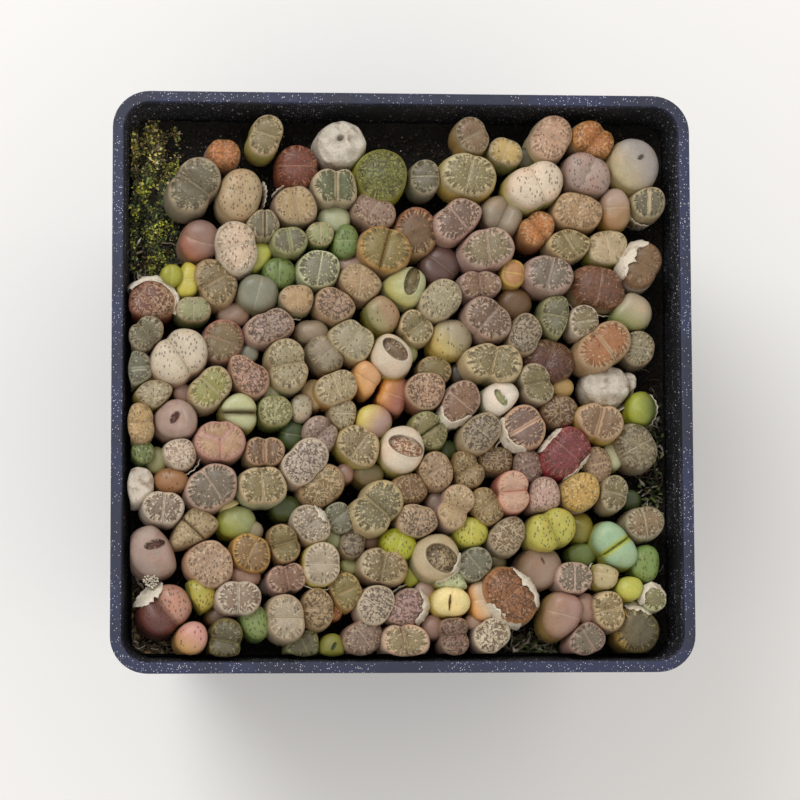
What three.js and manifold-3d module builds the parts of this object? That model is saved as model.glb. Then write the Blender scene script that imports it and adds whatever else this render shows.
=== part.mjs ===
// A square nursery pot crowded with seedling lithops, or living stones.
// Millimetres, +Z up. The pot stands on z = 0 with its middle on the Z axis.
import * as THREE from "three";
import { mergeVertices } from "three/addons/utils/BufferGeometryUtils.js";
import Module from "manifold-3d";

const wasm = await Module();
wasm.setup();

// Pot
const POT_HEIGHT = 100;
const RIM_SIDE = 110;
const RIM_WIDTH = 2.1;
const RIM_CORNER = 7;
const BODY_CORNER = 5.5;
const INSIDE_CORNER = 5;
const COLLAR_DEPTH = 9;
const WALL = 1.1;
const BASE_THICKNESS = 1.6;
const DRAFT = Math.tan(THREE.MathUtils.degToRad(4.5));
const DRAIN_RADIUS = 4;
const DRAIN_SIDES = 10;
const DRAIN_SPACING = 30;

// Contents
const GAP = 0.3;
const SOIL_TOP = 85;
const FOOT_LEVEL = SOIL_TOP + GAP;
const MOSS = { x: -48, y: 37.5, width: 7.4, length: 26, thickness: 4 };

// Heads
const HEAD_SEGMENTS = 8;
const SMALL_HEAD = 5.2;
const SMALL_HEAD_SEGMENTS = 6;
const HEAD_PROFILE = [
  // share of the outline's radius, then depth under the crown in mean radii
  { radius: 0.72, depth: 0.1 },
  { radius: 1, depth: 0.55 },
];
const FOOT_RADIUS = 0.42;
const CLEFT_WAIST = 0.94;
const CLEFT_REACH = 0.1;
// A head keeps this share of its reach however hard it is pressed.
const CORE = 0.35;
// With this difference in rise the lower of two heads gives way alone.
const YIELDING_STEP = 2;

// Shared roots
const ROOT_RADIUS = 0.7;
const ROOT_SIDES = 3;
const ROOT_LIFT = 1.1;
const TAP_ROOT = { radius: 1.5, tip: 0.5, depth: 9, sides: 4 };

// Each clump of heads that share a root crown. A head is x and y of its crown, its length across both lobes,
// its width along the cleft, the turn of its length from +X in degrees, and its rise over the soil.
const CLUMPS = [
  {
    colour: 0xa39a82,
    heads: [
      [-34, 43.5, 6.4, 6.1, 0, 13],
      [-39.6, 37.2, 11.6, 8.6, 55, 15.5],
      [-30.9, 35.6, 10.2, 8, 75, 15],
    ],
  },
  {
    colour: 0xb4a186,
    heads: [
      [-38.6, 26.9, 8.3, 7.4, 70, 12.5],
      [-31.5, 25.4, 10.3, 7.7, 100, 15.5],
      [-27, 23.8, 6.5, 4.6, 80, 11],
      [-35.3, 18.9, 10.2, 7.5, 120, 14],
    ],
  },
  {
    colour: 0x9a7f63,
    heads: [
      [-26, 47, 8.3, 6, 72, 14],
      [-19.9, 41.2, 8.7, 7.9, 90, 13],
      [-20.3, 33.5, 8.5, 8, 10, 14.5],
      [-26.2, 30, 7.3, 6.2, 0, 14],
    ],
  },
  {
    colour: 0x9aa382,
    heads: [
      [-21.5, 26.7, 6.8, 5.8, 10, 15],
      [-15.6, 28.2, 5.4, 4.7, 0, 13.5],
      [-23.4, 20.9, 6.5, 6.2, 0, 12],
      [-15.8, 21.3, 8.4, 7.6, -10, 14.5],
    ],
  },
  {
    colour: 0xb9bb94,
    heads: [
      [-11.6, 45.6, 9.7, 8.8, 0, 14.5],
      [-12.6, 37.2, 9.7, 7.3, 0, 15],
      [-12.9, 31.4, 6.4, 5.6, 0, 11],
      [-4.1, 39.4, 10.3, 10, 90, 15.5],
    ],
  },
  {
    colour: 0x94806c,
    heads: [
      [-5.5, 32.8, 9.5, 6.5, -35, 14],
      [4.4, 39.2, 7, 6, 90, 14],
      [2.6, 28.8, 9.6, 8.7, 90, 13.5],
      [10.6, 30.9, 10.3, 7.3, 40, 15.5],
    ],
  },
  {
    colour: 0x9b8f5a,
    heads: [
      [-10.9, 26.9, 6.7, 5.3, 90, 13],
      [-3.5, 25.2, 10.2, 9.1, -15, 15.5],
      [-9.6, 22.4, 5.4, 4, 0, 11],
      [-8.1, 18.9, 8.5, 7.6, -5, 15],
    ],
  },
  {
    colour: 0x9c9a80,
    heads: [
      [12.7, 39.5, 10.7, 8.9, -10, 15.5],
      [13.5, 47.2, 7.8, 6.2, -65, 14.5],
      [19.8, 44.3, 6.9, 5, -20, 14],
      [24, 43.4, 5, 4.4, 0, 11],
    ],
  },
  {
    colour: 0xa48a74,
    heads: [
      [16.1, 25.4, 10.3, 8, 8, 16],
      [7.4, 22.6, 8.2, 7.6, 50, 11.5],
      [14.7, 18.6, 8.4, 5.7, 5, 14.5],
      [21.1, 20.7, 5.5, 4.7, 80, 14],
    ],
  },
  {
    colour: 0xc4b49c,
    heads: [
      [25.7, 37.8, 11.6, 8.3, 20, 16],
      [19.4, 32.2, 8.5, 7.8, -25, 13],
      [25.9, 29.4, 7.2, 6.6, 35, 14],
      [28.6, 47, 9.4, 7.5, 60, 15],
    ],
  },
  {
    colour: 0x8f8579,
    heads: [
      [27.9, 20.5, 9.3, 7.5, -12, 16],
      [21.5, 15.2, 6.6, 6, 0, 12],
      [16.2, 11.8, 9.8, 7.5, -42, 16],
      [23.1, 9.1, 8.4, 6.6, 65, 15],
    ],
  },
  {
    colour: 0xa9a578,
    heads: [
      [0.6, 18.2, 8.6, 8.2, 165, 14.5],
      [7.2, 15.6, 8.6, 7, 45, 15.5],
      [2.6, 10.5, 6.9, 6.3, -50, 14.5],
      [1, 5.8, 4.6, 4, 0, 11],
    ],
  },
  {
    colour: 0xc59a7a,
    heads: [
      [36.9, 46.5, 8.8, 7.4, -40, 14.5],
      [35.2, 39.7, 9.7, 8.6, -28, 15.5],
      [44.6, 42, 10.3, 9.6, 125, 15],
    ],
  },
  {
    colour: 0xa88f6c,
    heads: [
      [33.4, 33, 10, 7.8, -10, 15.5],
      [40.9, 33.4, 8.2, 6.2, 90, 14],
      [47.3, 34.8, 6.9, 6.7, 0, 14],
      [31.8, 26.4, 8.3, 6.6, 20, 15],
    ],
  },
  {
    colour: 0x805548,
    heads: [
      [39.3, 25.9, 8.7, 6.8, 10, 14],
      [45.6, 22.5, 9.6, 7.4, 60, 15],
      [37.6, 18.4, 11, 8.4, -10, 14.5],
    ],
  },
  {
    colour: 0x8e5a3c,
    heads: [
      [-43.8, 20.1, 4.7, 4.3, 0, 13.5],
      [-40.9, 19.4, 7, 5.2, 90, 12],
      [-39.6, 13.6, 6.7, 5, 0, 13.5],
      [-47.8, 14.8, 9.8, 8.7, 25, 14],
    ],
  },
  {
    colour: 0x9a9788,
    heads: [
      [-48.6, 8.9, 7.2, 6, 40, 15],
      [-50, 2.1, 7.2, 5.3, 95, 14],
      [-47.4, 1.4, 5, 4.4, 0, 11],
      [-46.9, -2.6, 7.2, 5.6, 0, 14.5],
    ],
  },
  {
    colour: 0xd2c4b2,
    heads: [
      [-42.3, 4.5, 11.3, 9.5, 38, 16.5],
      [-41.6, -2.2, 4.2, 3.8, 0, 11.5],
      [-42.8, -7.5, 8.3, 7.8, -35, 15],
    ],
  },
  {
    colour: 0x936a58,
    heads: [
      [-34.1, 7.6, 8.6, 8.1, 70, 14],
      [-32, 13, 6, 5, 0, 11],
      [-27.5, 16.7, 8.3, 7.3, -15, 14],
    ],
  },
  {
    colour: 0xc0ae8e,
    heads: [
      [-36.3, -1.5, 9.2, 6.9, 45, 16],
      [-29.6, 0.9, 9.4, 6.3, -35, 15.5],
      [-29.3, 5.4, 4.5, 3.6, 0, 11],
      [-31.1, -6.2, 7.6, 7.3, 90, 15.5],
    ],
  },
  {
    colour: 0x9f8b74,
    heads: [
      [-20.1, 15.5, 6.8, 5.6, 5, 15],
      [-25.1, 10.1, 9.6, 6.5, 20, 15.5],
      [-17.3, 9.6, 6.4, 4.5, 0, 12],
      [-12.9, 14.4, 8.2, 6.4, -25, 15.5],
    ],
  },
  {
    colour: 0xd0bd8c,
    heads: [
      [-3.8, 13, 7.8, 6.2, 115, 14.5],
      [-9.6, 7.8, 9.6, 6.8, -35, 15.5],
      [-2.4, 4.8, 9, 7.5, -48, 15.5],
      [-7.2, 0.5, 7.5, 5.6, 60, 14.5],
    ],
  },
  {
    colour: 0xb5a374,
    heads: [
      [-14.6, 5.2, 7.8, 6.4, -50, 14],
      [-21.9, 3, 10, 7.3, 103, 16.5],
      [-17, -2.4, 6.4, 6, 0, 11.5],
      [-12.7, -1.3, 8.3, 6, 20, 15.5],
    ],
  },
  {
    colour: 0x9c7d72,
    heads: [
      [-5.6, -7.6, 7.2, 6.5, 0, 13.5],
      [-1.9, -2.6, 8.6, 5.6, 72, 12.5],
      [-8.3, -12.3, 9, 7.3, -35, 15.5],
      [-6.4, -17.6, 5.6, 5.3, 0, 12.5],
      [-10.9, -17.3, 4.4, 3.8, 0, 11],
    ],
  },
  {
    colour: 0xb29170,
    heads: [
      [9, 8.3, 8.5, 7.6, 0, 13.5],
      [6.2, 2.4, 6.5, 5.5, 0, 11.5],
      [10.8, 2, 4.2, 3.8, 0, 9.5],
      [4.3, -1.9, 7.8, 7.2, 5, 15.5],
    ],
  },
  {
    colour: 0xb0a694,
    heads: [
      [17.1, 3.7, 11.2, 7.3, -10, 16.5],
      [10.8, -4.1, 9.4, 7, 50, 15.5],
      [18.4, -3.5, 7.8, 7.1, 40, 15],
    ],
  },
  {
    colour: 0xc08a5c,
    heads: [
      [29.3, 12.5, 8.5, 6.3, 82, 14.5],
      [34.6, 11.4, 6.8, 6, 100, 15],
      [38.3, 6.8, 11.3, 7.8, 38, 16],
      [45.2, 6.6, 6.8, 6.2, 80, 13.5],
      [43.7, 13.8, 8.7, 7.2, -20, 13.5],
    ],
  },
  {
    colour: 0xa08a64,
    heads: [
      [-49.6, -8.1, 7.5, 5.4, 95, 15.5],
      [-49, -13.4, 4.8, 4.3, 40, 13.5],
      [-46.6, -14.8, 5.2, 4.4, 90, 11],
      [-42, -13.7, 6.5, 6.1, -45, 15],
    ],
  },
  {
    colour: 0xb5a58e,
    heads: [
      [-49.8, -19.9, 7.4, 5.9, 90, 14.5],
      [-43.7, -18.8, 6.4, 4.8, 0, 13.5],
      [-45.1, -24.1, 8.1, 6.3, -8, 16],
    ],
  },
  {
    colour: 0xa8806c,
    heads: [
      [-34.6, -11.6, 9.6, 8.2, 0, 16.5],
      [-26.2, -13.4, 8, 5.7, 0, 15],
      [-26.6, -19.9, 9.7, 7.2, 3, 16.5],
      [-22, -24, 6, 5, 0, 11],
    ],
  },
  {
    colour: 0x8d8a7e,
    heads: [
      [-35.9, -20.1, 10.6, 8.2, 35, 16.5],
      [-32.9, -23.8, 5, 4.5, 0, 11.5],
      [-31.5, -26.6, 7.6, 6.2, 0, 12.5],
      [-39.5, -28, 10.6, 8, 45, 15.5],
    ],
  },
  {
    colour: 0x84967a,
    heads: [
      [-24.3, -5.7, 6.8, 6.2, 0, 14.5],
      [-25, -1.7, 5, 4.4, 0, 11],
      [-19.2, -5, 5.4, 4.2, 80, 13],
      [-21, -10, 6, 4.6, 80, 11.5],
    ],
  },
  {
    colour: 0xa4907a,
    heads: [
      [-15.5, -9.9, 7, 6.2, -45, 14.5],
      [-11.3, -6.2, 6.3, 5.4, 90, 13.5],
      [-18.7, -15.4, 10, 6.8, 45, 16.5],
      [-15.4, -20, 9.5, 7.4, 45, 14.5],
    ],
  },
  {
    colour: 0xc7b79a,
    heads: [
      [-0.3, -13, 9, 8.4, 70, 16],
      [1.2, -20.3, 7.4, 5.8, 10, 14],
      [6.2, -17, 7.5, 6.5, -60, 15],
    ],
  },
  {
    colour: 0x8a8474,
    heads: [
      [5, -9.2, 7.6, 6.5, -55, 14.5],
      [8.7, -12.6, 4, 3.6, 0, 10],
      [11.9, -16.8, 8, 6.2, -58, 14.5],
      [14.6, -9.8, 8.4, 6.8, 50, 16],
      [17.7, -14.8, 7.2, 5.4, -10, 13],
    ],
  },
  {
    colour: 0x8a7462,
    heads: [
      [27.9, 4.4, 10.2, 8.4, -20, 13.5],
      [25.4, -0.4, 7.9, 6, -65, 15.5],
      [30.7, -0.8, 5, 4, 0, 11],
      [29.9, -5.5, 7.2, 6.2, 0, 13.5],
    ],
  },
  {
    colour: 0xb78b80,
    heads: [
      [22.9, -8.7, 8.8, 8.3, -60, 15.5],
      [23.8, -15.9, 6.4, 5.8, 110, 13.5],
      [20.7, -21, 8.1, 6.3, 95, 16.5],
      [26.6, -21.9, 7.8, 6.8, 75, 15.5],
    ],
  },
  {
    colour: 0x93403c,
    heads: [
      [30.9, -13.4, 10.8, 7.6, 50, 16],
      [33.4, -21, 8.3, 6.9, 30, 15.5],
      [37.1, -15.6, 7, 5.6, 100, 12.5],
    ],
  },
  {
    colour: 0xc4b6a2,
    heads: [
      [37.2, -7.7, 9.4, 7.2, -10, 16],
      [39.2, -0.6, 9, 8.1, 0, 13],
      [43.4, 0.4, 4.4, 3.6, 90, 10],
      [45.6, -5, 6.8, 5.3, 80, 13],
    ],
  },
  {
    colour: 0x8c8a78,
    heads: [
      [44.6, -12.3, 9.2, 7.4, -62, 14],
      [40.3, -14, 5.4, 3.8, 100, 10.5],
      [39.9, -21.3, 6.9, 5.5, 78, 15],
      [43.8, -22.3, 4.6, 4, 0, 10],
    ],
  },
  {
    colour: 0xa8a48c,
    heads: [
      [-5.1, -24, 11.2, 8.2, 50, 17],
      [-12.2, -25.8, 6.3, 5.4, -50, 14.5],
      [-9.6, -30.6, 5.9, 4.8, 80, 13.5],
      [-5.9, -30.4, 4.8, 4, 0, 11],
    ],
  },
  {
    colour: 0xb0a992,
    heads: [
      [-17.5, -27.2, 8, 6.2, -50, 15.5],
      [-13.1, -29.7, 4.4, 4, 0, 11],
      [-15.5, -34.6, 8.2, 7, 85, 16.5],
      [-10, -34.9, 4.4, 4, 0, 10.5],
    ],
  },
  {
    colour: 0xa8825e,
    heads: [
      [2.7, -26.6, 8.5, 6.3, -15, 15.5],
      [6.4, -22.8, 4.6, 4, 0, 11],
      [9.7, -23.9, 9, 6, 65, 16],
      [15.7, -23.7, 8, 6, -52, 15],
    ],
  },
  {
    colour: 0xa3a35a,
    heads: [
      [12.7, -28.6, 6.6, 6.2, 0, 13.5],
      [19.6, -29.2, 8, 6.6, 60, 15],
      [13.5, -34.6, 6.8, 6.3, 40, 14.5],
      [18, -34.2, 4.6, 4, 0, 10.5],
    ],
  },
  {
    colour: 0xa9b04c,
    heads: [
      [27.9, -28.1, 9.5, 7.8, 25, 16.5],
      [33.8, -27.7, 5.8, 5, 90, 12],
      [34.3, -32.4, 5.6, 5, 0, 11],
      [32.1, -37.2, 7, 6.1, 0, 15.5],
    ],
  },
  {
    colour: 0x8fae96,
    heads: [
      [45.7, -26.9, 7.8, 6.4, 10, 15],
      [40.2, -31.2, 10, 7, -52, 15],
      [46.1, -34.5, 7.2, 5.4, 85, 13],
      [38.2, -36.6, 6, 5.1, 80, 14.5],
    ],
  },
  {
    colour: 0xb08c80,
    heads: [
      [-46.7, -32.1, 10, 9.7, 105, 15],
      [-44.6, -43.2, 10.8, 9, 38, 14],
      [-38.5, -40.4, 6.6, 6.3, 0, 13.5],
      [-39.8, -48.4, 6.6, 6.1, 50, 14.5],
    ],
  },
  {
    colour: 0xa8845a,
    heads: [
      [-36.4, -34.4, 9.2, 8.6, -40, 16],
      [-28.8, -32.5, 8, 7.2, -25, 15.5],
      [-29.2, -28.3, 5.6, 4.2, 0, 11.5],
      [-22.6, -30.7, 7.4, 6.3, 100, 15],
    ],
  },
  {
    colour: 0x9d9a68,
    heads: [
      [-31.1, -40.9, 8.5, 6.4, 0, 16.5],
      [-29.8, -36.8, 6, 4.2, 0, 12],
      [-28, -45.4, 6.9, 5.5, -65, 13.5],
      [-33.5, -48.9, 8.6, 6.5, 80, 14.5],
      [-35, -44.4, 5, 3.8, 0, 11],
    ],
  },
  {
    colour: 0xb0a594,
    heads: [
      [-22, -37.2, 7.7, 5.4, 12, 15],
      [-25.9, -38.6, 4, 3.6, 90, 10],
      [-22.2, -44.7, 9, 7.1, 98, 16.5],
      [-16.1, -42.9, 7.8, 6, 93, 14.5],
      [-18.6, -49.9, 7.3, 5.4, 25, 12],
    ],
  },
  {
    colour: 0xb59e78,
    heads: [
      [-10.8, -39.7, 7.4, 6, -65, 15],
      [-12.7, -43.6, 3.4, 2.4, 90, 11],
      [-5.3, -42.2, 8, 6.6, 60, 16],
      [-13.4, -50.2, 5.3, 5, 90, 12.5],
      [-7.6, -48.4, 8, 6.6, 35, 14],
    ],
  },
  {
    colour: 0xa5a878,
    heads: [
      [-3.9, -35.2, 9.4, 7.4, -12, 15.5],
      [-0.9, -30.8, 7, 6.1, -20, 14],
      [1.6, -36.8, 5, 4.4, 90, 11],
      [4.1, -39.5, 5, 4, 90, 11],
    ],
  },
  {
    colour: 0x94706a,
    heads: [
      [0.4, -43.2, 9, 6.5, 45, 14.5],
      [0.2, -49.2, 9.2, 6.8, -10, 15.5],
      [5.6, -46.4, 5, 4.6, 0, 11.5],
      [9.5, -48, 8, 5.6, 95, 14.5],
    ],
  },
  {
    colour: 0xc2bb88,
    heads: [
      [6, -33.3, 9.2, 8.9, 55, 16],
      [8.9, -41.8, 7.4, 5.6, -5, 15],
      [9.2, -38, 6.5, 4.4, 0, 13.5],
      [15, -41.4, 8, 4.8, 95, 13],
    ],
  },
  {
    colour: 0xb08a64,
    heads: [
      [20.1, -40.5, 11.8, 8.7, -50, 16],
      [16.6, -48, 7.4, 6.3, 40, 14.5],
      [13.4, -45.4, 4, 3.4, 0, 11],
    ],
  },
  {
    colour: 0xa38b78,
    heads: [
      [25.8, -35.2, 8.7, 8, 25, 13.5],
      [30, -44.2, 9.5, 7.5, 75, 14.5],
      [34.6, -43, 6, 4.6, 90, 12],
      [34.6, -48.7, 7.5, 6.3, 30, 14.5],
    ],
  },
  {
    colour: 0x7d7448,
    heads: [
      [42.9, -39.2, 5.3, 4.5, 0, 14],
      [47.4, -41, 5.3, 4.5, -60, 14],
      [44.2, -47, 9.3, 8.6, -60, 13],
      [38.7, -43.4, 7.9, 6, 100, 15],
    ],
  },
];

const { degToRad } = THREE.MathUtils;

// Solids

function solid(geometry) {
  const bare = geometry.index ? geometry.toNonIndexed() : geometry.clone();
  bare.deleteAttribute("normal");
  bare.deleteAttribute("uv");
  const merged = mergeVertices(bare, 1e-4);
  return new wasm.Manifold(
    new wasm.Mesh({
      numProp: 3,
      vertProperties: merged.attributes.position.array,
      triVerts: new Uint32Array(merged.index.array),
    }),
  );
}

function geometryOf(manifold) {
  const { vertProperties, triVerts } = manifold.getMesh();
  const geometry = new THREE.BufferGeometry();
  geometry.setAttribute("position", new THREE.BufferAttribute(vertProperties, 3));
  geometry.setIndex(new THREE.BufferAttribute(triVerts, 1));
  return geometry;
}

function named(name, manifold, colour, roughness) {
  const material = new THREE.MeshStandardMaterial({ color: colour, roughness, metalness: 0 });
  const mesh = new THREE.Mesh(geometryOf(manifold), material);
  mesh.name = name;
  return mesh;
}

// Pot and soil

function roundedSquare(half, corner) {
  const shape = new THREE.Shape();
  const inner = half - corner;
  shape.absarc(inner, inner, corner, 0, Math.PI / 2);
  shape.absarc(-inner, inner, corner, Math.PI / 2, Math.PI);
  shape.absarc(-inner, -inner, corner, Math.PI, Math.PI * 1.5);
  shape.absarc(inner, -inner, corner, Math.PI * 1.5, Math.PI * 2);
  return shape;
}

// A rounded square block whose sides come in by draft towards the bottom.
function draftedBlock(topHalf, corner, bottom, top, draft) {
  const options = { depth: top - bottom, bevelEnabled: false, curveSegments: 5 };
  const geometry = new THREE.ExtrudeGeometry(roundedSquare(topHalf, corner), options);
  geometry.translate(0, 0, bottom);
  const { position } = geometry.attributes;
  for (let i = 0; i < position.count; i++) {
    const shrink = 1 - ((top - position.getZ(i)) * draft) / topHalf;
    position.setXY(i, position.getX(i) * shrink, position.getY(i) * shrink);
  }
  return solid(geometry);
}

const insideHalf = (z) => RIM_SIDE / 2 - RIM_WIDTH - (POT_HEIGHT - z) * DRAFT;

function drainHole(x, y) {
  const height = 4 * BASE_THICKNESS;
  const geometry = new THREE.CylinderGeometry(DRAIN_RADIUS, DRAIN_RADIUS, height, DRAIN_SIDES);
  geometry.rotateX(Math.PI / 2);
  geometry.translate(x, y, 0);
  return solid(geometry);
}

function pot() {
  const collarBottom = POT_HEIGHT - COLLAR_DEPTH;
  const bodyHalf = insideHalf(collarBottom) + WALL;
  let shell = draftedBlock(RIM_SIDE / 2, RIM_CORNER, collarBottom, POT_HEIGHT, 0);
  shell = shell.add(draftedBlock(bodyHalf, BODY_CORNER, 0, collarBottom, DRAFT));
  const mouth = insideHalf(POT_HEIGHT + 1);
  const hollow = draftedBlock(mouth, INSIDE_CORNER, BASE_THICKNESS, POT_HEIGHT + 1, DRAFT);
  shell = shell.subtract(hollow);
  for (const x of [-1, 0, 1])
    for (const y of [-1, 0, 1])
      if (x || y) shell = shell.subtract(drainHole(x * DRAIN_SPACING, y * DRAIN_SPACING));
  return shell;
}

function soil(tapRoots) {
  const half = insideHalf(SOIL_TOP) - GAP;
  const bed = draftedBlock(half, INSIDE_CORNER, BASE_THICKNESS + GAP, SOIL_TOP, DRAFT);
  return tapRoots.reduce((rest, { x, y }) => rest.subtract(tapRoot(x, y, GAP)), bed);
}

function moss() {
  const { x, y, width, length, thickness } = MOSS;
  const mound = new THREE.SphereGeometry(1, 12, 8);
  mound.scale(width / 2, length / 2, thickness);
  mound.translate(x, y, FOOT_LEVEL);
  const below = new THREE.BoxGeometry(width * 2, length * 2, thickness * 2);
  below.translate(x, y, FOOT_LEVEL - thickness);
  return solid(mound).subtract(solid(below));
}

// Heads

function headOf([x, y, length, width, turn, rise]) {
  return { x, y, length, width, turn: degToRad(turn), rise, flats: [] };
}

// How far a head's oval outline reaches in a direction.
function reach(head, direction) {
  const along = (head.length / 2) * Math.cos(direction - head.turn);
  const across = (head.width / 2) * Math.sin(direction - head.turn);
  return Math.hypot(along, across);
}

// Neighbours that press on each other meet at two upright flats. The lower head gives way the more.
function press(head, other) {
  const away = Math.hypot(other.x - head.x, other.y - head.y);
  const direction = Math.atan2(other.y - head.y, other.x - head.x);
  const mine = reach(head, direction);
  const theirs = reach(other, direction);
  const overlap = mine + theirs + GAP - away;
  if (overlap <= 0) return;
  const share = THREE.MathUtils.clamp(0.5 - (head.rise - other.rise) / (2 * YIELDING_STEP), 0, 1);
  const most = away - GAP - CORE * theirs;
  const distance = THREE.MathUtils.clamp(mine - share * overlap, CORE * mine, most);
  head.flats.push({ direction, distance });
}

function pressOnWalls(head) {
  const wall = insideHalf(SOIL_TOP + head.rise / 2) - GAP;
  head.flats.push({ direction: 0, distance: wall - head.x });
  head.flats.push({ direction: Math.PI / 2, distance: wall - head.y });
  head.flats.push({ direction: Math.PI, distance: wall + head.x });
  head.flats.push({ direction: -Math.PI / 2, distance: wall + head.y });
}

function pressedRadius(head, direction, radius) {
  return head.flats.reduce((least, flat) => {
    const facing = Math.cos(direction - flat.direction);
    return facing > 0 ? Math.min(least, flat.distance / facing) : least;
  }, radius);
}

// A head is turned on a lathe, stretched to its oval, nipped at the cleft and pressed flat by its neighbours.
function headSolid(head) {
  const mean = (head.length + head.width) / 4;
  const profile = [new THREE.Vector2(0, 0), new THREE.Vector2(FOOT_RADIUS, 0)];
  for (const { radius, depth } of [...HEAD_PROFILE].reverse())
    profile.push(new THREE.Vector2(radius, head.rise - depth * mean));
  profile.push(new THREE.Vector2(0, head.rise));
  const segments = head.length < SMALL_HEAD ? SMALL_HEAD_SEGMENTS : HEAD_SEGMENTS;
  const geometry = new THREE.LatheGeometry(profile, segments);
  geometry.rotateX(Math.PI / 2);
  const { position } = geometry.attributes;
  for (let i = 0; i < position.count; i++) {
    const along = (position.getX(i) * head.length) / 2;
    const across = (position.getY(i) * head.width) / 2;
    const nip = Math.abs(along) < CLEFT_REACH * head.length ? CLEFT_WAIST : 1;
    const direction = head.turn + Math.atan2(across * nip, along);
    const radius = pressedRadius(head, direction, Math.hypot(along, across * nip));
    const x = head.x + radius * Math.cos(direction);
    const y = head.y + radius * Math.sin(direction);
    position.setXYZ(i, x, y, FOOT_LEVEL + position.getZ(i));
  }
  return solid(geometry);
}

// Roots

function root(from, to) {
  const length = Math.hypot(to.x - from.x, to.y - from.y);
  const geometry = new THREE.CylinderGeometry(ROOT_RADIUS, ROOT_RADIUS, length, ROOT_SIDES);
  geometry.rotateZ(Math.PI / 2);
  geometry.rotateZ(Math.atan2(to.y - from.y, to.x - from.x));
  geometry.translate((from.x + to.x) / 2, (from.y + to.y) / 2, FOOT_LEVEL + ROOT_LIFT);
  return solid(geometry);
}

function tapRoot(x, y, margin) {
  const { radius, tip, depth, sides } = TAP_ROOT;
  const top = FOOT_LEVEL + ROOT_LIFT;
  const bottom = SOIL_TOP - depth - margin;
  const geometry = new THREE.CylinderGeometry(radius + margin, tip + margin, top - bottom, sides);
  geometry.rotateX(Math.PI / 2);
  geometry.translate(x, y, (top + bottom) / 2);
  return solid(geometry);
}

// Joins each head to the nearest one that is already joined.
function joinedRoots(heads) {
  const joined = [heads[0]];
  const waiting = heads.slice(1);
  const roots = [];
  while (waiting.length) {
    const pairs = waiting.flatMap((to) => joined.map((from) => ({ from, to })));
    const span = ({ from, to }) => Math.hypot(to.x - from.x, to.y - from.y);
    const next = pairs.reduce((best, pair) => (span(pair) < span(best) ? pair : best));
    roots.push(root(next.from, next.to));
    joined.push(next.to);
    waiting.splice(waiting.indexOf(next.to), 1);
  }
  return roots;
}

function clumpSolid(heads) {
  const parts = [...heads.map(headSolid), ...joinedRoots(heads), tapRoot(heads[0].x, heads[0].y, 0)];
  return parts.reduce((whole, part) => whole.add(part));
}

// Assembly

const clumps = CLUMPS.map(({ colour, heads }) => ({ colour, heads: heads.map(headOf) }));
const allHeads = clumps.flatMap(({ heads }) => heads);
for (const head of allHeads) {
  for (const other of allHeads) if (other !== head) press(head, other);
  pressOnWalls(head);
}

const group = new THREE.Group();
group.add(named("pot", pot(), 0x1d2233, 0.45));
group.add(named("soil", soil(clumps.map(({ heads }) => heads[0])), 0x241d18, 0.95));
group.add(named("moss_patch", moss(), 0x3b4218, 0.95));
clumps.forEach(({ colour, heads }, i) => {
  const name = `lithops_clump_${String(i + 1).padStart(2, "0")}`;
  group.add(named(name, clumpSolid(heads), colour, 0.6));
});

export default group;
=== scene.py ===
"""Looks of a square nursery pot crowded with seedling lithops, or living stones.

Every head takes its place, size and turn from its clump in the frame. What it looks like is in LOOKS.
"""

import cmath
import colorsys
import math
import random

import bmesh
import bpy
import numpy as np
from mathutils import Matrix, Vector


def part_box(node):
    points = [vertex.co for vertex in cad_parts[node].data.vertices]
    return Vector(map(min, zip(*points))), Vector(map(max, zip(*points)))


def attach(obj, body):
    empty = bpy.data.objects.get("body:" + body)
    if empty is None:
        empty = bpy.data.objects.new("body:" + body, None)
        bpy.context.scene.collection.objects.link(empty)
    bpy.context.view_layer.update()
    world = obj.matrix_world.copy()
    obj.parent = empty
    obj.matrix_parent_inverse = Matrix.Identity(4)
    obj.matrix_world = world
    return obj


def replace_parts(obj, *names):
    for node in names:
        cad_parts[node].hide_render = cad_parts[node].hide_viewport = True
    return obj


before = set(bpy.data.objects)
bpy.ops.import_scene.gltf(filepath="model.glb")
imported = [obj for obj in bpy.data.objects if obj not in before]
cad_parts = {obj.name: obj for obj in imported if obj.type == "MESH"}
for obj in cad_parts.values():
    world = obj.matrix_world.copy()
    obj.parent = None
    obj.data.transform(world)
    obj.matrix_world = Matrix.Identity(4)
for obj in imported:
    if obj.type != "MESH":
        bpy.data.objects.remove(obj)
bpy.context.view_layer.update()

MM = 0.001

# Pot, in millimetres. The inner walls' painted shade ends, and the rim's specks set in, between two levels
# each
POT_HEIGHT = 100
RIM_SIDE = 110
RIM_WIDTH = 2.1
DRAFT = math.tan(math.radians(4.5))
RIM_ROUNDING = 0.55
INNER_CORNER = 4.9
WALL_MARGIN = 0.15
INNER_SHADE_TO = (98.0, 99.8)
SPECKS_FROM = (84.0, 92.0)

# Heads, in millimetres: their gap to the walls and the soil, the least height of a crown over the soil, the
# length under which a coarse mesh will do, and the steps in height up to which neighbours are even and press
GAP = 0.3
SHALLOWEST_CROWN = 8
SMALL_HEAD = 5.4
EVEN_STEP = 0.7
HIDING_STEP = 1.6

# Heads, in shares: where the frame's shoulders lie along a head and across it, how deep they are, the least
# that a pressed head keeps, how sharply flats cut in, and how far a crown and a body lean
SHOULDER = 0.72
WAIST = 0.94
SHOULDER_DEPTH = 0.55
CORE = 0.35
PRESS_SHARPNESS = 12
PRESS_FLATNESS = 0.6
MOST_LEAN = 0.14
BODY_LEAN = (-0.09, -0.07)

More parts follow.
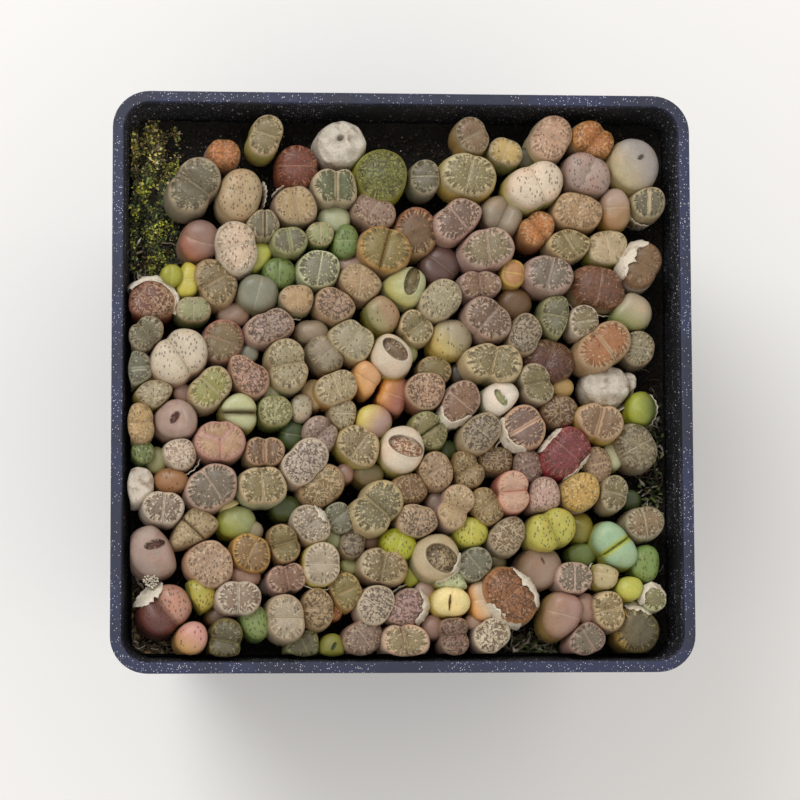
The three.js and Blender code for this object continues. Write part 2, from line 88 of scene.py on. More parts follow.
# Heads: cells across the top, rings down the sides as shares of the way down and of the top's width, the
# fissures of a threefold head in degrees, and a distance from the fissure at which nothing shows of it
CELLS = 26
FEWER_CELLS = 16
MORE_CELLS = 44
SIDE_RINGS = ((0.08, 1.03), (0.2, 1.07), (0.38, 1.08), (0.58, 1.02), (0.8, 0.88), (1, 0.65))
THREE_SEAMS = (-90, 158, 48)
NO_SEAM = 9

# Dry skins: cells round a head, up its side and over its crown, and thickness
SKIN_COLUMNS = 30
SKIN_ROWS = 7
SKIN_LAP_ROWS = 4
SKIN_THICKNESS = 0.12

# Soil and litter, in millimetres and counts: how near a head must be for litter to heed it, how far litter
# reaches, grit's and moss's margins from the rim, the Y beyond which more grit is pale, and the X up to which
# moss climbs the wall
CLEARANCE = 0.2
NEAR_HEAD = 7
LITTER_REACH = 51
CRUST_CELLS = 150
GRIT_COUNT = 2400
GRIT_MARGIN = 2.2
PALE_GRIT_FROM = 38
MOSS_CELLS = (29, 89)
MOSS_LEAVES = 7000
MOSS_MARGIN = 1.3
MOSS_CLIMB_TO = -50.4
LICHEN = (-47.6, -37.6, 98)
LICHEN_BRANCHES = 70

# Camera, in millimetres and degrees
CAMERA_LENS = 131.2
CAMERA_DISTANCE = 550
CAMERA_LEAN = (4, 5.5)
CAMERA_ROLL = -0.2
CAMERA_AIM = (-0.75, -3.74)

# Lights and floor, in metres and watts
WORLD_COLOUR = (1, 0.97, 0.92, 1)
WORLD_STRENGTH = 0.85
KEY_PLACE = (-0.35, 0.45, 0.85)
KEY_TARGET = (0, 0, 0.1)
KEY_SIZE = 0.5
KEY_POWER = 3.6
FLOOR_HALF = 3

SOIL_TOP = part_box("soil")[1].z / MM
FOOT_LEVEL = SOIL_TOP + GAP

# Colours as red, green and blue out of 255, as a screen shows them
PALETTE = {
    "white": (226, 216, 198),
    "ivory": (198, 184, 164),
    "cream": (178, 162, 126),
    "beige": (172, 146, 114),
    "tan": (156, 128, 92),
    "peach": (198, 152, 106),
    "pink": (178, 146, 124),
    "coral": (186, 140, 126),
    "rose": (152, 98, 82),
    "lilac": (166, 140, 130),
    "mauve": (142, 116, 102),
    "plum": (98, 70, 66),
    "grey": (144, 132, 110),
    "ash": (162, 148, 124),
    "bluegrey": (134, 134, 116),
    "slate": (88, 82, 62),
    "charcoal": (64, 57, 45),
    "olive": (104, 92, 54),
    "moss": (116, 114, 46),
    "sage": (140, 142, 98),
    "mint": (178, 182, 144),
    "seafoam": (140, 168, 130),
    "green": (112, 132, 70),
    "bottle": (64, 76, 40),
    "lime": (156, 158, 52),
    "yellowgreen": (174, 170, 82),
    "lemon": (200, 182, 84),
    "butter": (218, 202, 142),
    "pearl": (158, 150, 146),
    "golden": (172, 140, 76),
    "amber": (204, 148, 70),
    "orange": (184, 116, 60),
    "copper": (152, 110, 74),
    "rust": (142, 88, 46),
    "brown": (112, 84, 56),
    "umber": (86, 64, 42),
    "brick": (128, 74, 54),
    "maroon": (92, 54, 44),
    "crimson": (146, 42, 50),
}

# Marks on the crown: how strongly windows show, how far they reach, how ragged they are and how many pale
# flecks they hold, how many dark dots and worm lines there are (pale lines if negative), and the half width
# of the band along the cleft that stays clear of windows
MARKS = {
    "smooth": (0, 0, 0, 0, 0, 0, 0),
    "papery": (0, 0, 0, 0, 0, 0, 0),
    "speckled": (0, 0, 0, 0, 0.75, 0, 0),
    "sparse": (0, 0, 0, 0, 0.25, 0, 0),
    "dotted": (0.4, 0.92, 0.35, 0.6, 0.75, 0.2, 0.08),
    "windows": (0.85, 0.9, 0.35, 0.15, 0.08, 0, 0.08),
    "clear": (0.85, 0.84, 0.15, -3, 0, 0, 0.12),
    "split": (0.85, 0.86, 0.45, 0.15, 0.08, 0, 0.4),
    "jagged": (0.8, 0.86, 0.8, 0.45, 0.2, 0, 0.12),
    "network": (0.3, 0.9, 0.3, 0.2, 0.3, 1, 0.06),
    "cracked": (0.85, 0.9, 0.35, 0.2, 0.1, -0.9, 0.08),
    "bumpy": (0.6, 0.93, 0.2, 0.8, 0.3, 0.4, 0),
    "radial": (0.75, 0.84, 1.5, -0.4, 0.15, 0.3, 0),
    "streaked": (0.5, 0.95, 1.2, 0, 0.2, 0.7, 0),
}

# Relief of the crown: depth of the groove along the cleft, depth of the valley between the lobes, nip at the
# cleft's ends, depth of the ripples and roundness of the dome
FORMS = {
    "cleft": (0.22, 0.3, 0.06, 0.06, 3.4),
    "deep": (0.45, 0.9, 0.13, 0.06, 3.4),
    "faint": (0.08, 0.12, 0.03, 0.06, 3.2),
    "lips": (1.5, 0.3, 0.08, 0.05, 3.4),
    "bowed": (0.2, 0.15, 0.04, 0.05, 2.8),
    "threefold": (0.35, 0.5, 0.08, 0.06, 3.4),
    "dome": (0, 0, 0, 0.07, 2.6),
    "rings": (0, 0, 0, 0.16, 2.8),
    "shrunken": (0, 0.2, 0.06, 0.5, 2.6),
}


def look(marks, flesh, window, form="cleft", base=None, blush=None, cleft=None, pit=None):
    """One head's looks. base colours its lower side. blush is a colour, the direction it comes from and,
    where it ends sharply, how soft that edge is. cleft is the fissure's direction where it isn't square to
    the head's length. pit is an opening's place from the crown, its length, width and direction. Directions
    are in degrees from +X."""
    return {
        "marks": marks,
        "flesh": flesh,
        "window": window,
        "form": form,
        "base": base or flesh,
        "blush": blush,
        "cleft": cleft,
        "pit": pit,
    }


def plain(marks, flesh, form="cleft", **more):
    """The looks of a head that shows no window."""
    return look(marks, flesh, flesh, form, **more)


# The heads of each numbered clump, from -X to +X
LOOKS = {
    1: (
        look("windows", "grey", "slate", "deep"),
        look("streaked", "copper", "orange", base="lilac"),
        plain("speckled", "beige", "faint", base="cream"),
    ),
    2: (
        plain("smooth", "mauve", "bowed", blush=("rose", 215)),
        look("jagged", "tan", "olive"),
        look("dotted", "ivory", "peach", cleft=15),
        plain("smooth", "yellowgreen", "faint"),
    ),
    3: (
        look("split", "ash", "slate", "lips"),
        look("windows", "cream", "olive", base="yellowgreen"),
        look("jagged", "beige", "tan", base="mauve"),
        look("streaked", "brick", "maroon", "faint"),
    ),
    4: (
        plain("speckled", "green", "faint"),
        look("split", "sage", "slate"),
        look("windows", "mint", "slate", "faint"),
        look("windows", "cream", "sage", "faint", base="green"),
    ),
    5: (
        plain("smooth", "mint", "dome", base="yellowgreen"),
        look("split", "ash", "bottle", "deep"),
        look("papery", "white", "brown", "shrunken", pit=(-0.2, 0.9, 1.6, 1.2, 20)),
        look("network", "moss", "bottle", "dome", base="lime"),
    ),
    6: (
        look("dotted", "mauve", "brown", "faint"),
        look("radial", "tan", "umber", "dome", blush=("rose", 90)),
        look("windows", "grey", "slate", "faint", base="bluegrey"),
        look("jagged", "lilac", "umber", base="mauve"),
    ),
    7: (
        plain("speckled", "green", "faint"),
        plain("smooth", "lilac", "dome"),
        look("jagged", "beige", "tan", "faint", base="pink"),
        look("windows", "golden", "olive", "lips", base="beige", cleft=75),
    ),
    8: (
        look("jagged", "cream", "olive", base="lemon", cleft=75),
        look("windows", "grey", "brown", base="golden"),
        look("windows", "ash", "golden", "faint", base="sage"),
        plain("smooth", "slate", "dome"),
    ),
    9: (
        plain("smooth", "plum", cleft=-37),
        look("jagged", "lilac", "brown", "deep"),
        look("jagged", "lilac", "olive"),
        look("clear", "golden", "copper", "faint"),
    ),
    10: (
        plain("smooth", "grey", "deep", cleft=65),
        plain("speckled", "ivory", base="yellowgreen", cleft=-65),
        look("bumpy", "copper", "orange", "deep", cleft=-55),
        look("dotted", "pink", "copper", base="cream"),
    ),
    11: (
        look("jagged", "lilac", "umber"),
        plain("smooth", "brown", "dome"),
        look("network", "ash", "slate"),
        look("jagged", "lilac", "slate", cleft=76),
    ),
    12: (
        look("smooth", "mint", "olive", "dome", blush=("yellowgreen", 215), pit=(1.1, 0.9, 5.6, 2.7, 75)),
        plain("smooth", "sage", "dome"),
        look("windows", "cream", "olive", "deep"),
        look("dotted", "ash", "olive", cleft=-45),
    ),
    13: (
        plain("speckled", "lilac", cleft=62),
        look("bumpy", "orange", "rust", "deep", base="cream"),
        look("smooth", "pearl", "slate", "dome", "butter", ("cream", 215), pit=(1.1, 1.1, 1.4, 0.8, 35)),
    ),
    14: (
        look("windows", "cream", "olive", cleft=-60),
        look("bumpy", "beige", "tan", base="tan"),
        plain("smooth", "tan", "faint", base="golden", blush=("lilac", 90)),
        look("split", "ash", "slate", "faint", base="cream"),
    ),
    15: (
        look("streaked", "brick", "umber", "faint", base="cream"),
        look("windows", "cream", "beige", "faint", base="lime"),
        look("radial", "brown", "brown", base="ivory"),
    ),
    16: (
        look("cracked", "brick", "maroon", blush=("copper", 0), cleft=-50),
        plain("smooth", "lime", "faint"),
        plain("smooth", "yellowgreen", "faint", base="lime"),
        look("windows", "ash", "sage", "faint", base="green"),
    ),
    17: (
        look("split", "bluegrey", "slate"),
        look("jagged", "grey", "slate", "deep"),
        plain("smooth", "grey", "dome"),
        look("dotted", "cream", "olive", "faint", base="lemon"),
    ),
    18: (
        look("smooth", "lilac", "maroon", "rings", pit=(-0.3, 0.3, 2.5, 1.3, 55)),
        plain("speckled", "ivory", "deep", base="pink", cleft=-57),
        plain("smooth", "mauve", "dome"),
    ),
    19: (
        look("windows", "mauve", "olive", blush=("rose", 90), cleft=-20),
        plain("smooth", "mauve", "dome"),
        plain("smooth", "bluegrey", "faint", base="sage"),
    ),
    20: (
        look("jagged", "cream", "moss", cleft=-45),
        look("smooth", "mint", "olive", "lips", base="yellowgreen", cleft=0),
        look("network", "pink", "maroon"),
        plain("smooth", "bluegrey", "dome"),
    ),
    21: (
        look("network", "lilac", "charcoal", cleft=110),
        look("windows", "beige", "tan", "faint", base="sage"),
        plain("smooth", "grey", "dome"),
        look("network", "beige", "maroon"),
    ),
    22: (
        look("windows", "cream", "grey", cleft=55),
        plain("smooth", "peach", blush=("amber", 200)),
        plain("sparse", "tan", "dome", base="yellowgreen", blush=("sage", 215)),
        look("windows", "ivory", "brown", "dome", base="yellowgreen", pit=(0.8, 1.1, 5.5, 3, -40)),
    ),
    23: (
        look("dotted", "cream", "olive", "deep"),
        plain("smooth", "tan", "dome"),
        look("windows", "grey", "grey", "faint"),
        look("dotted", "cream", "olive", "faint", base="golden"),
    ),
    24: (
        plain("smooth", "mauve", "dome"),
        look("jagged", "cream", "olive", base="yellowgreen", cleft=55),
        plain("smooth", "olive", "dome"),
        plain("smooth", "lilac", "dome", blush=("lemon", 150)),
        plain("smooth", "rose", "faint", base="maroon", blush=("amber", 150)),
    ),
    25: (
        look("network", "pink", "rust", "faint", base="rose"),
        look("windows", "beige", "olive", "dome", base="sage"),
        plain("sparse", "ash", "faint", base="lemon", blush=("lemon", 225)),
        plain("smooth", "charcoal", "dome"),
    ),
    26: (
        look("windows", "lilac", "brown", "faint", base="ivory"),
        look("jagged", "cream", "olive", "deep", cleft=75),
        look("smooth", "white", "sage", "dome", base="mint", pit=(0, 0.3, 3.6, 1.5, -55)),
    ),
    27: (
        look("windows", "sage", "slate", cleft=-10),
        look("windows", "ivory", "olive"),
        look("split", "tan", "rust", cleft=-53),
        plain("smooth", "ash", "dome", base="green", blush=("green", 240)),
        look("dotted", "grey", "bottle", "faint", base="slate"),
    ),
    28: (
        look("bumpy", "tan", "golden", cleft=3),
        look("dotted", "green", "bottle", "dome"),
        plain("smooth", "sage", "dome"),
        look("cracked", "ivory", "mauve", "faint"),
    ),
    29: (
        plain("papery", "white", "shrunken"),
        look("jagged", "ivory", "umber", cleft=85),
        plain("sparse", "copper", "dome"),
    ),
    30: (
        look("split", "coral", "tan", "threefold", base="mauve"),
        look("jagged", "cream", "olive", base="mint", cleft=95),
        look("split", "pink", "umber", "deep", base="cream"),
        plain("smooth", "bottle", "dome"),
    ),
    31: (
        look("dotted", "beige", "tan", "lips", cleft=-43),
        look("windows", "lilac", "slate"),
        plain("smooth", "butter", "dome", base="lemon"),
        plain("smooth", "sage", "dome", base="lime", blush=("lime", 215)),
    ),
    32: (
        plain("smooth", "mint", "dome"),
        look("cracked", "sage", "olive", "faint", base="green"),
        plain("smooth", "bottle", "faint"),
        plain("speckled", "ash", "faint"),
    ),
    33: (
        look("network", "ivory", "maroon", "faint", base="pink"),
        look("dotted", "lilac", "brown", "deep", cleft=45),
        look("cracked", "tan", "olive"),
        look("dotted", "cream", "olive", "faint"),
    ),
    34: (
        look("cracked", "ivory", "rust", "dome", base="yellowgreen", pit=(0.65, 0.5, 6.7, 3.4, -20)),
        look("bumpy", "tan", "umber", "faint"),
        look("dotted", "beige", "brown"),
    ),
    35: (
        look("windows", "sage", "olive", "lips", cleft=35),
        plain("smooth", "bottle", "dome"),
        look("dotted", "tan", "olive", "deep"),
        look("network", "ash", "charcoal", "faint", base="cream"),
        look("cracked", "brown", "umber", "faint", base="bluegrey"),
    ),
    36: (
        look("windows", "ash", "olive", "deep", cleft=10),
        look("network", "maroon", "maroon", blush=("brown", 70), cleft=70),
        look("cracked", "brown", "umber", "faint"),
        plain("smooth", "golden", "dome", base="lime"),
    ),
    37: (
        look("split", "coral", "pink", "deep", base="rose", cleft=5),
        look("split", "pink", "plum", cleft=30),
        look("dotted", "mauve", "plum", "faint"),
        look("dotted", "lilac", "pink", "faint"),
    ),
    38: (
        look("streaked", "crimson", "maroon", "faint"),
        look("bumpy", "golden", "golden", "faint", base="lilac"),
        look("dotted", "beige", "brown", "faint"),
    ),
    39: (
        look("split", "beige", "brown", "deep", base="lemon", cleft=75),
        plain("papery", "white", "shrunken"),
        plain("papery", "white", "shrunken"),
        plain("smooth", "lime", "dome", blush=("bottle", 0)),
    ),
    40: (
        look("jagged", "ash", "olive"),
        plain("smooth", "mint", "dome", base="lime"),
        plain("smooth", "bottle", "dome"),
        look("streaked", "grey", "olive", "faint"),
    ),
    41: (
        look("windows", "bluegrey", "slate"),
        look("network", "grey", "charcoal", "faint"),
        plain("smooth", "brown", "dome"),
        look("jagged", "cream", "slate", "deep"),
    ),
    42: (
        look("bumpy", "ivory", "umber"),
        look("windows", "ivory", "grey", base="lemon", cleft=0),
        plain("smooth", "mint", "dome"),
        plain("smooth", "sage", "dome"),
    ),
    43: (
        look("network", "beige", "brown", "faint"),
        plain("smooth", "mauve", "dome"),
        look("jagged", "beige", "tan", "deep", base="lilac"),
        look("dotted", "tan", "olive"),
    ),
    44: (
        plain("speckled", "yellowgreen", "faint"),
        look("windows", "bluegrey", "slate"),
        plain("smooth", "olive", "dome"),
        look("cracked", "grey", "brown"),
    ),
    45: (
        plain("speckled", "yellowgreen", "deep", cleft=-65),
        look("jagged", "lilac", "slate", "faint"),
        plain("smooth", "moss", "dome"),
        plain("smooth", "green", "dome"),
    ),
    46: (
        plain("sparse", "cream", "faint", base="yellowgreen"),
        look("smooth", "seafoam", "lime", "lips", base="lime", cleft=35),
        look("jagged", "grey", "brown", "faint"),
        plain("speckled", "green", "dome"),
    ),
    47: (
        look("smooth", "lilac", "maroon", "dome", pit=(0, 1.1, 3.9, 1.6, 15)),
        plain("speckled", "maroon", "deep", blush=("coral", 40, 0.12), cleft=-50),
        plain("sparse", "coral", "dome", base="golden", blush=("golden", 240)),
        plain("speckled", "yellowgreen", "dome"),
    ),
    48: (
        look("dotted", "pink", "brown"),
        plain("smooth", "grey", "dome"),
        look("windows", "golden", "brown", cleft=65),
        look("windows", "tan", "olive", "deep", cleft=15),
    ),
    49: (
        plain("smooth", "umber", "dome"),
        look("windows", "olive", "slate", "deep"),
        look("jagged", "ivory", "brown", base="lilac", cleft=90),
        plain("smooth", "pink", "dome"),
        plain("speckled", "green", "dome"),
    ),
    50: (
        plain("smooth", "charcoal", "dome"),
        look("jagged", "ash", "grey", cleft=0),
        look("windows", "lilac", "brown", "deep"),
        look("windows", "sage", "slate"),
        look("network", "beige", "umber", cleft=0),
    ),
    51: (
        look("speckled", "moss", "bottle", "dome", pit=(0.2, 0.2, 1.6, 0.7, 60)),
        look("bumpy", "orange", "rust", "dome"),
        look("windows", "golden", "olive"),
        look("dotted", "mauve", "umber", "faint"),
        look("network", "ivory", "maroon", "faint", base="lilac"),
    ),
    52: (
        look("jagged", "ash", "olive", "deep", blush=("tan", 0)),
        plain("speckled", "lime", "faint"),
        plain("smooth", "lime", "dome"),
        plain("smooth", "lilac", "dome"),
    ),
    53: (
        look("jagged", "pink", "olive", "deep", base="lilac", cleft=-75),
        look("network", "lilac", "maroon", base="ivory"),
        plain("smooth", "mauve", "dome"),
        look("network", "mauve", "umber", "deep"),
    ),
    54: (
        look("network", "cream", "copper", "dome", base="sage", pit=(1.1, -0.3, 6.6, 4.6, -35)),
        look("smooth", "butter", "umber", "faint", base="lemon", pit=(-0.4, -0.1, 3, 0.5, 85)),
        look("cracked", "mint", "mint", "dome", base="yellowgreen"),
        plain("smooth", "ivory", "faint", base="peach", blush=("amber", 200)),
    ),
    55: (
        plain("smooth", "pink", "dome"),
        look("cracked", "ivory", "umber", base="lilac"),
        look("network", "rust", "maroon", "faint", base="cream"),
    ),
    56: (
        look("smooth", "mauve", "plum", "dome", blush=("brown", 150), pit=(0.6, 1.2, 1.6, 0.5, -65)),
        plain("smooth", "mauve", "faint", base="golden", blush=("tan", 180)),
        look("windows", "lilac", "slate"),
        plain("smooth", "pink", "dome"),
    ),
    57: (
        look("jagged", "beige", "olive", base="mauve"),
        plain("smooth", "yellowgreen", "dome"),
        look("radial", "olive", "slate", "dome", blush=("golden", 180)),
        look("windows", "mint", "olive", "dome"),
    ),
}

# Dry papery skins: clump, number of the head in it from 0 at -X, middle direction and sweep in degrees,
# height up the head's side and flare as shares of its mean radius, and lap over the crown in millimetres
SKINS = (
    (1, 2, 5, 60, 0.9, 0.3, 0),
    (3, 2, 110, 80, 0.5, 0.25, 0),
    (14, 3, 230, 100, 0.6, 0.2, 0),
    (15, 2, 145, 150, 1, 0.1, 2.4),
    (15, 0, 250, 120, 0.9, 0.3, 0),
    (16, 0, 60, 170, 0.9, 0.3, 0.4),
    (21, 1, 240, 90, 0.6, 0.3, 0),
    (26, 0, 250, 120, 1, 0.05, 0.7),
    (28, 3, 300, 110, 0.8, 0.35, 0),
    (35, 3, 350, 120, 0.8, 0.15, 0),
    (37, 1, 215, 120, 1, 0.1, 0.8),
    (38, 0, 140, 80, 1, 0.03, 0.4),
    (38, 0, 310, 90, 1, 0.03, 0.3),
    (39, 1, 300, 140, 0.7, 0.35, 0),
    (39, 3, 0, 110, 0.8, 0.2, 0),
    (42, 0, 35, 90, 1, 0.1, 1.2),
    (42, 1, 270, 150, 0.7, 0.2, 0),
    (46, 0, 180, 100, 0.8, 0.15, 0),
    (47, 1, 135, 75, 1, 0.3, 2),
    (53, 1, 130, 110, 0.95, 0.25, 0),
    (53, 1, 0, 110, 1, 0.1, 1.2),
    (54, 0, 320, 100, 1, 0.1, 0.8),
    (55, 2, 30, 110, 1, 0.05, 1.6),
    (55, 2, 245, 90, 1, 0.1, 1.2),
    (57, 2, 80, 70, 1, 0.2, 1.2),
    (57, 3, 110, 200, 1, 0.1, 0.8),
)


def straightened(shares):
    """Red, green and blue shares that a screen shows, as Blender's linear numbers."""
    return np.where(shares < 0.04045, shares / 12.92, ((shares + 0.055) / 1.055) ** 2.4)


def linear(name):
    """A palette colour as Blender's linear numbers."""
    return straightened(np.array(PALETTE[name]) / 255)


def smooth_step(value, low, high):
    share = np.clip((value - low) / (high - low), 0, 1)
    return share * share * (3 - 2 * share)


def blend(first, second, share):
    """Mixes a list of colours with a colour or another list, by one share a point."""
    share = np.asarray(share)[..., None]
    return first * (1 - share) + second * share


def ripples(x, y, size, seed):
    """A smooth random height, mostly from -1 to 1, whose bumps are about size across."""
    rng = random.Random(seed)
    total = 0
    for _ in range(6):
        direction = rng.uniform(0, math.tau)
        pace = math.tau / (size * rng.uniform(1.2, 2.8))
        across = x * math.cos(direction) + y * math.sin(direction)
        total = total + np.sin(across * pace + rng.uniform(0, math.tau))
    return total / 3


def inner_wall(level):
    """The distance from the pot's middle to the inside of its walls at a level."""
    return RIM_SIDE / 2 - RIM_WIDTH - (POT_HEIGHT - level) * DRAFT


# Heads read from the frame


class Head:
    """One head of a clump: its crown, and the oval that its neighbours press on."""

    def __init__(self, crown, shoulder):
        self.x, self.y, self.z = crown
        arms = [complex(x - self.x, y - self.y) for x, y, _ in shoulder]
        self.turn = cmath.phase(sum((arm / abs(arm)) ** 2 for arm in arms)) / 2
        turned = [arm * cmath.rect(1, -self.turn) for arm in arms]
        self.length = 2 * max(abs(arm.real) for arm in turned) / SHOULDER
        self.width = 2 * max(abs(arm.imag) for arm in turned) / (SHOULDER * WAIST)
        self.mean = (self.length + self.width) / 4
        self.seed = round(self.x * 131 + self.y * 17)
        self.flats = []

    def reach(self, direction):
        along = self.length / 2 * np.cos(direction - self.turn)
        across = self.width / 2 * np.sin(direction - self.turn)
        return np.hypot(along, across)

    def press(self, other):
        """Neighbours of one height flatten each other. A lower head gives way the more, and one that is
        lower still tucks under its neighbour unpressed."""
        away = math.hypot(other.x - self.x, other.y - self.y)
        direction = math.atan2(other.y - self.y, other.x - self.x)
        mine = self.reach(direction)
        theirs = other.reach(direction)
        overlap = mine + theirs - away
        below = other.z - self.z
        share = smooth_step(below, -EVEN_STEP, EVEN_STEP) * (1 - smooth_step(below, EVEN_STEP, HIDING_STEP))
        if overlap > 0 and share > 0:
            self.flats.append((direction, max(mine - share * overlap, CORE * mine)))

    def press_on_walls(self):
        """The pot's walls flatten what reaches them."""
        wall = inner_wall((SOIL_TOP + self.z) / 2) - GAP
        for direction, place in ((0, self.x), (90, self.y), (180, -self.x), (270, -self.y)):
            self.flats.append((math.radians(direction), wall - place))

    def outline(self, direction, nip, cleft):
        """The radius in each direction: an oval, nipped at the cleft's ends and pressed by the flats."""
        uneven = 0.02 * ripples(np.cos(direction), np.sin(direction), 0.8, self.seed)
        oval = self.reach(direction) * (1 + uneven)
        off_cleft = np.arcsin(np.abs(np.sin(direction - cleft)))
        oval = oval * (1 - nip * np.exp(-((off_cleft / 0.3) ** 2)))
        total = oval**-PRESS_SHARPNESS
        for facing, distance in self.flats:
            cosine = np.cos(direction - facing)
            pressed = distance / np.maximum(cosine, 0.05) ** PRESS_FLATNESS
            total = total + np.where(cosine > 0.05, pressed**-PRESS_SHARPNESS, 0)
        return total ** (-1 / PRESS_SHARPNESS)


def heads_of(node):
    """The heads of a clump from -X to +X. A crown is a corner that is above all that it is joined to."""
    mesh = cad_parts[node].data
    corners = [tuple(round(value / MM, 2) for value in vertex.co) for vertex in mesh.vertices]
    neighbours = {}
    for edge in mesh.edges:
        first, second = (corners[index] for index in edge.vertices)
        neighbours.setdefault(first, set()).add(second)
        neighbours.setdefault(second, set()).add(first)
    found = []
    for corner, others in neighbours.items():
        if corner[2] > SOIL_TOP + SHALLOWEST_CROWN and all(other[2] < corner[2] for other in others):
            found.append(Head(corner, others))
    return sorted(found, key=lambda head: (round(head.x, 1), head.y))


# Meshes


def placed(name, data):
    """A new object in the scene."""
    thing = bpy.data.objects.new(name, data)
    bpy.context.scene.collection.objects.link(thing)
    return thing


def new_piece(name, points, faces, material, attributes=()):
    """A smooth piece of the object from points in millimetres."""
    mesh = bpy.data.meshes.new(name)
    mesh.from_pydata((np.asarray(points) * MM).tolist(), [], faces)
    for key, kind, values in attributes:
        layer = mesh.attributes.new(key, kind, "POINT")
        field = "color" if kind == "FLOAT_COLOR" else "vector" if kind == "FLOAT_VECTOR" else "value"
        layer.data.foreach_set(field, np.asarray(values, np.float32).ravel())
    mesh.polygons.foreach_set("use_smooth", [True] * len(mesh.polygons))
    mesh.materials.append(material)
    piece = placed(name, mesh)
    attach(piece, "root")
    return piece


def inside_walls(points):
    """Points in millimetres, with those past the pot's inner walls or round corners brought in to them."""
    points = np.array([tuple(point) for point in points])
    wall = inner_wall(points[:, 2:]) - WALL_MARGIN
    place = np.clip(points[:, :2], -wall, wall)
    flat = wall - INNER_CORNER
    past = np.maximum(np.abs(place) - flat, 0)
    away = np.hypot(past[:, :1], past[:, 1:])
    share = np.minimum(INNER_CORNER / np.maximum(away, 0.001), 1)
    points[:, :2] = np.sign(place) * (np.minimum(np.abs(place), flat) + past * share)
    return points


def at(field, x, y, *more):
    """The value at one place of a field that takes lists of places."""
    return float(field(np.array([x]), np.array([y]), *more)[0])


def opaque(colours):
    return np.hstack([colours, np.ones((len(colours), 1))])


def grid_faces(rows, columns):
    """Faces of a grid of rows by columns cells, whose points run along the columns first."""
    side = columns + 1
    return [
        (i * side + j, (i + 1) * side + j, (i + 1) * side + j + 1, i * side + j + 1)
        for i in range(rows)
        for j in range(columns)
    ]


def disc_grid(cells):
    """A square grid drawn in to a disc and crowded towards the cleft and the edge: each point's share across
    the cleft and along it, in rows of cells + 1."""
    steps = np.linspace(-1, 1, cells + 1)
    crowded = np.sign(steps) * np.abs(steps) ** 1.4
    s, t = (values.ravel() for values in np.meshgrid(crowded, steps, indexing="ij"))
    across = s * np.sqrt(1 - t * t / 2)
    along = t * np.sqrt(1 - s * s / 2)
    radius = np.hypot(across, along)
    spread = 1.35 - 0.35 * radius**2
    return across * spread, along * spread


def grid_edge(cells):
    """The edge of a disc_grid, once round."""
    side = cells + 1
    bottom = [i * side for i in range(cells)]
    right = [cells * side + j for j in range(cells)]
    top = [i * side + cells for i in range(cells, 0, -1)]
    left = list(range(cells, 0, -1))
    return bottom + right + top + left


def ring_faces(first, second):
    """Faces between two loops of points of the same length."""
    count = len(first)
    return [(first[k], second[k], second[(k + 1) % count], first[(k + 1) % count]) for k in range(count)]


def tube(route, radii):
    """Points and faces of a tapering square tube along a route, closed at its ends."""
    sides = 4
    points, faces = [], []
    for index, centre in enumerate(route):
        ahead = Vector(route[min(index + 1, len(route) - 1)]) - Vector(route[max(index - 1, 0)])
        across = ahead.orthogonal().normalized()
        other = ahead.normalized().cross(across)
        for side in range(sides):
            angle = math.tau * side / sides
            out = math.cos(angle) * across + math.sin(angle) * other
            points.append(Vector(centre) + radii[index] * out)
    for index in range(len(route) - 1):
        low = [index * sides + side for side in range(sides)]
        high = [corner + sides for corner in low]
        faces += ring_faces(low, high)
    faces.append(tuple(range(sides)))
    faces.append(tuple(len(points) - sides + side for side in range(sides - 1, -1, -1)))
    return points, faces


def joined(parts):
    """Several lists of points and faces as one."""
    points, faces = [], []
    for more_points, more_faces in parts:
        start = len(points)
        points += [tuple(point) for point in more_points]
        faces += [tuple(corner + start for corner in face) for face in more_faces]
    return points, faces


# Shaders


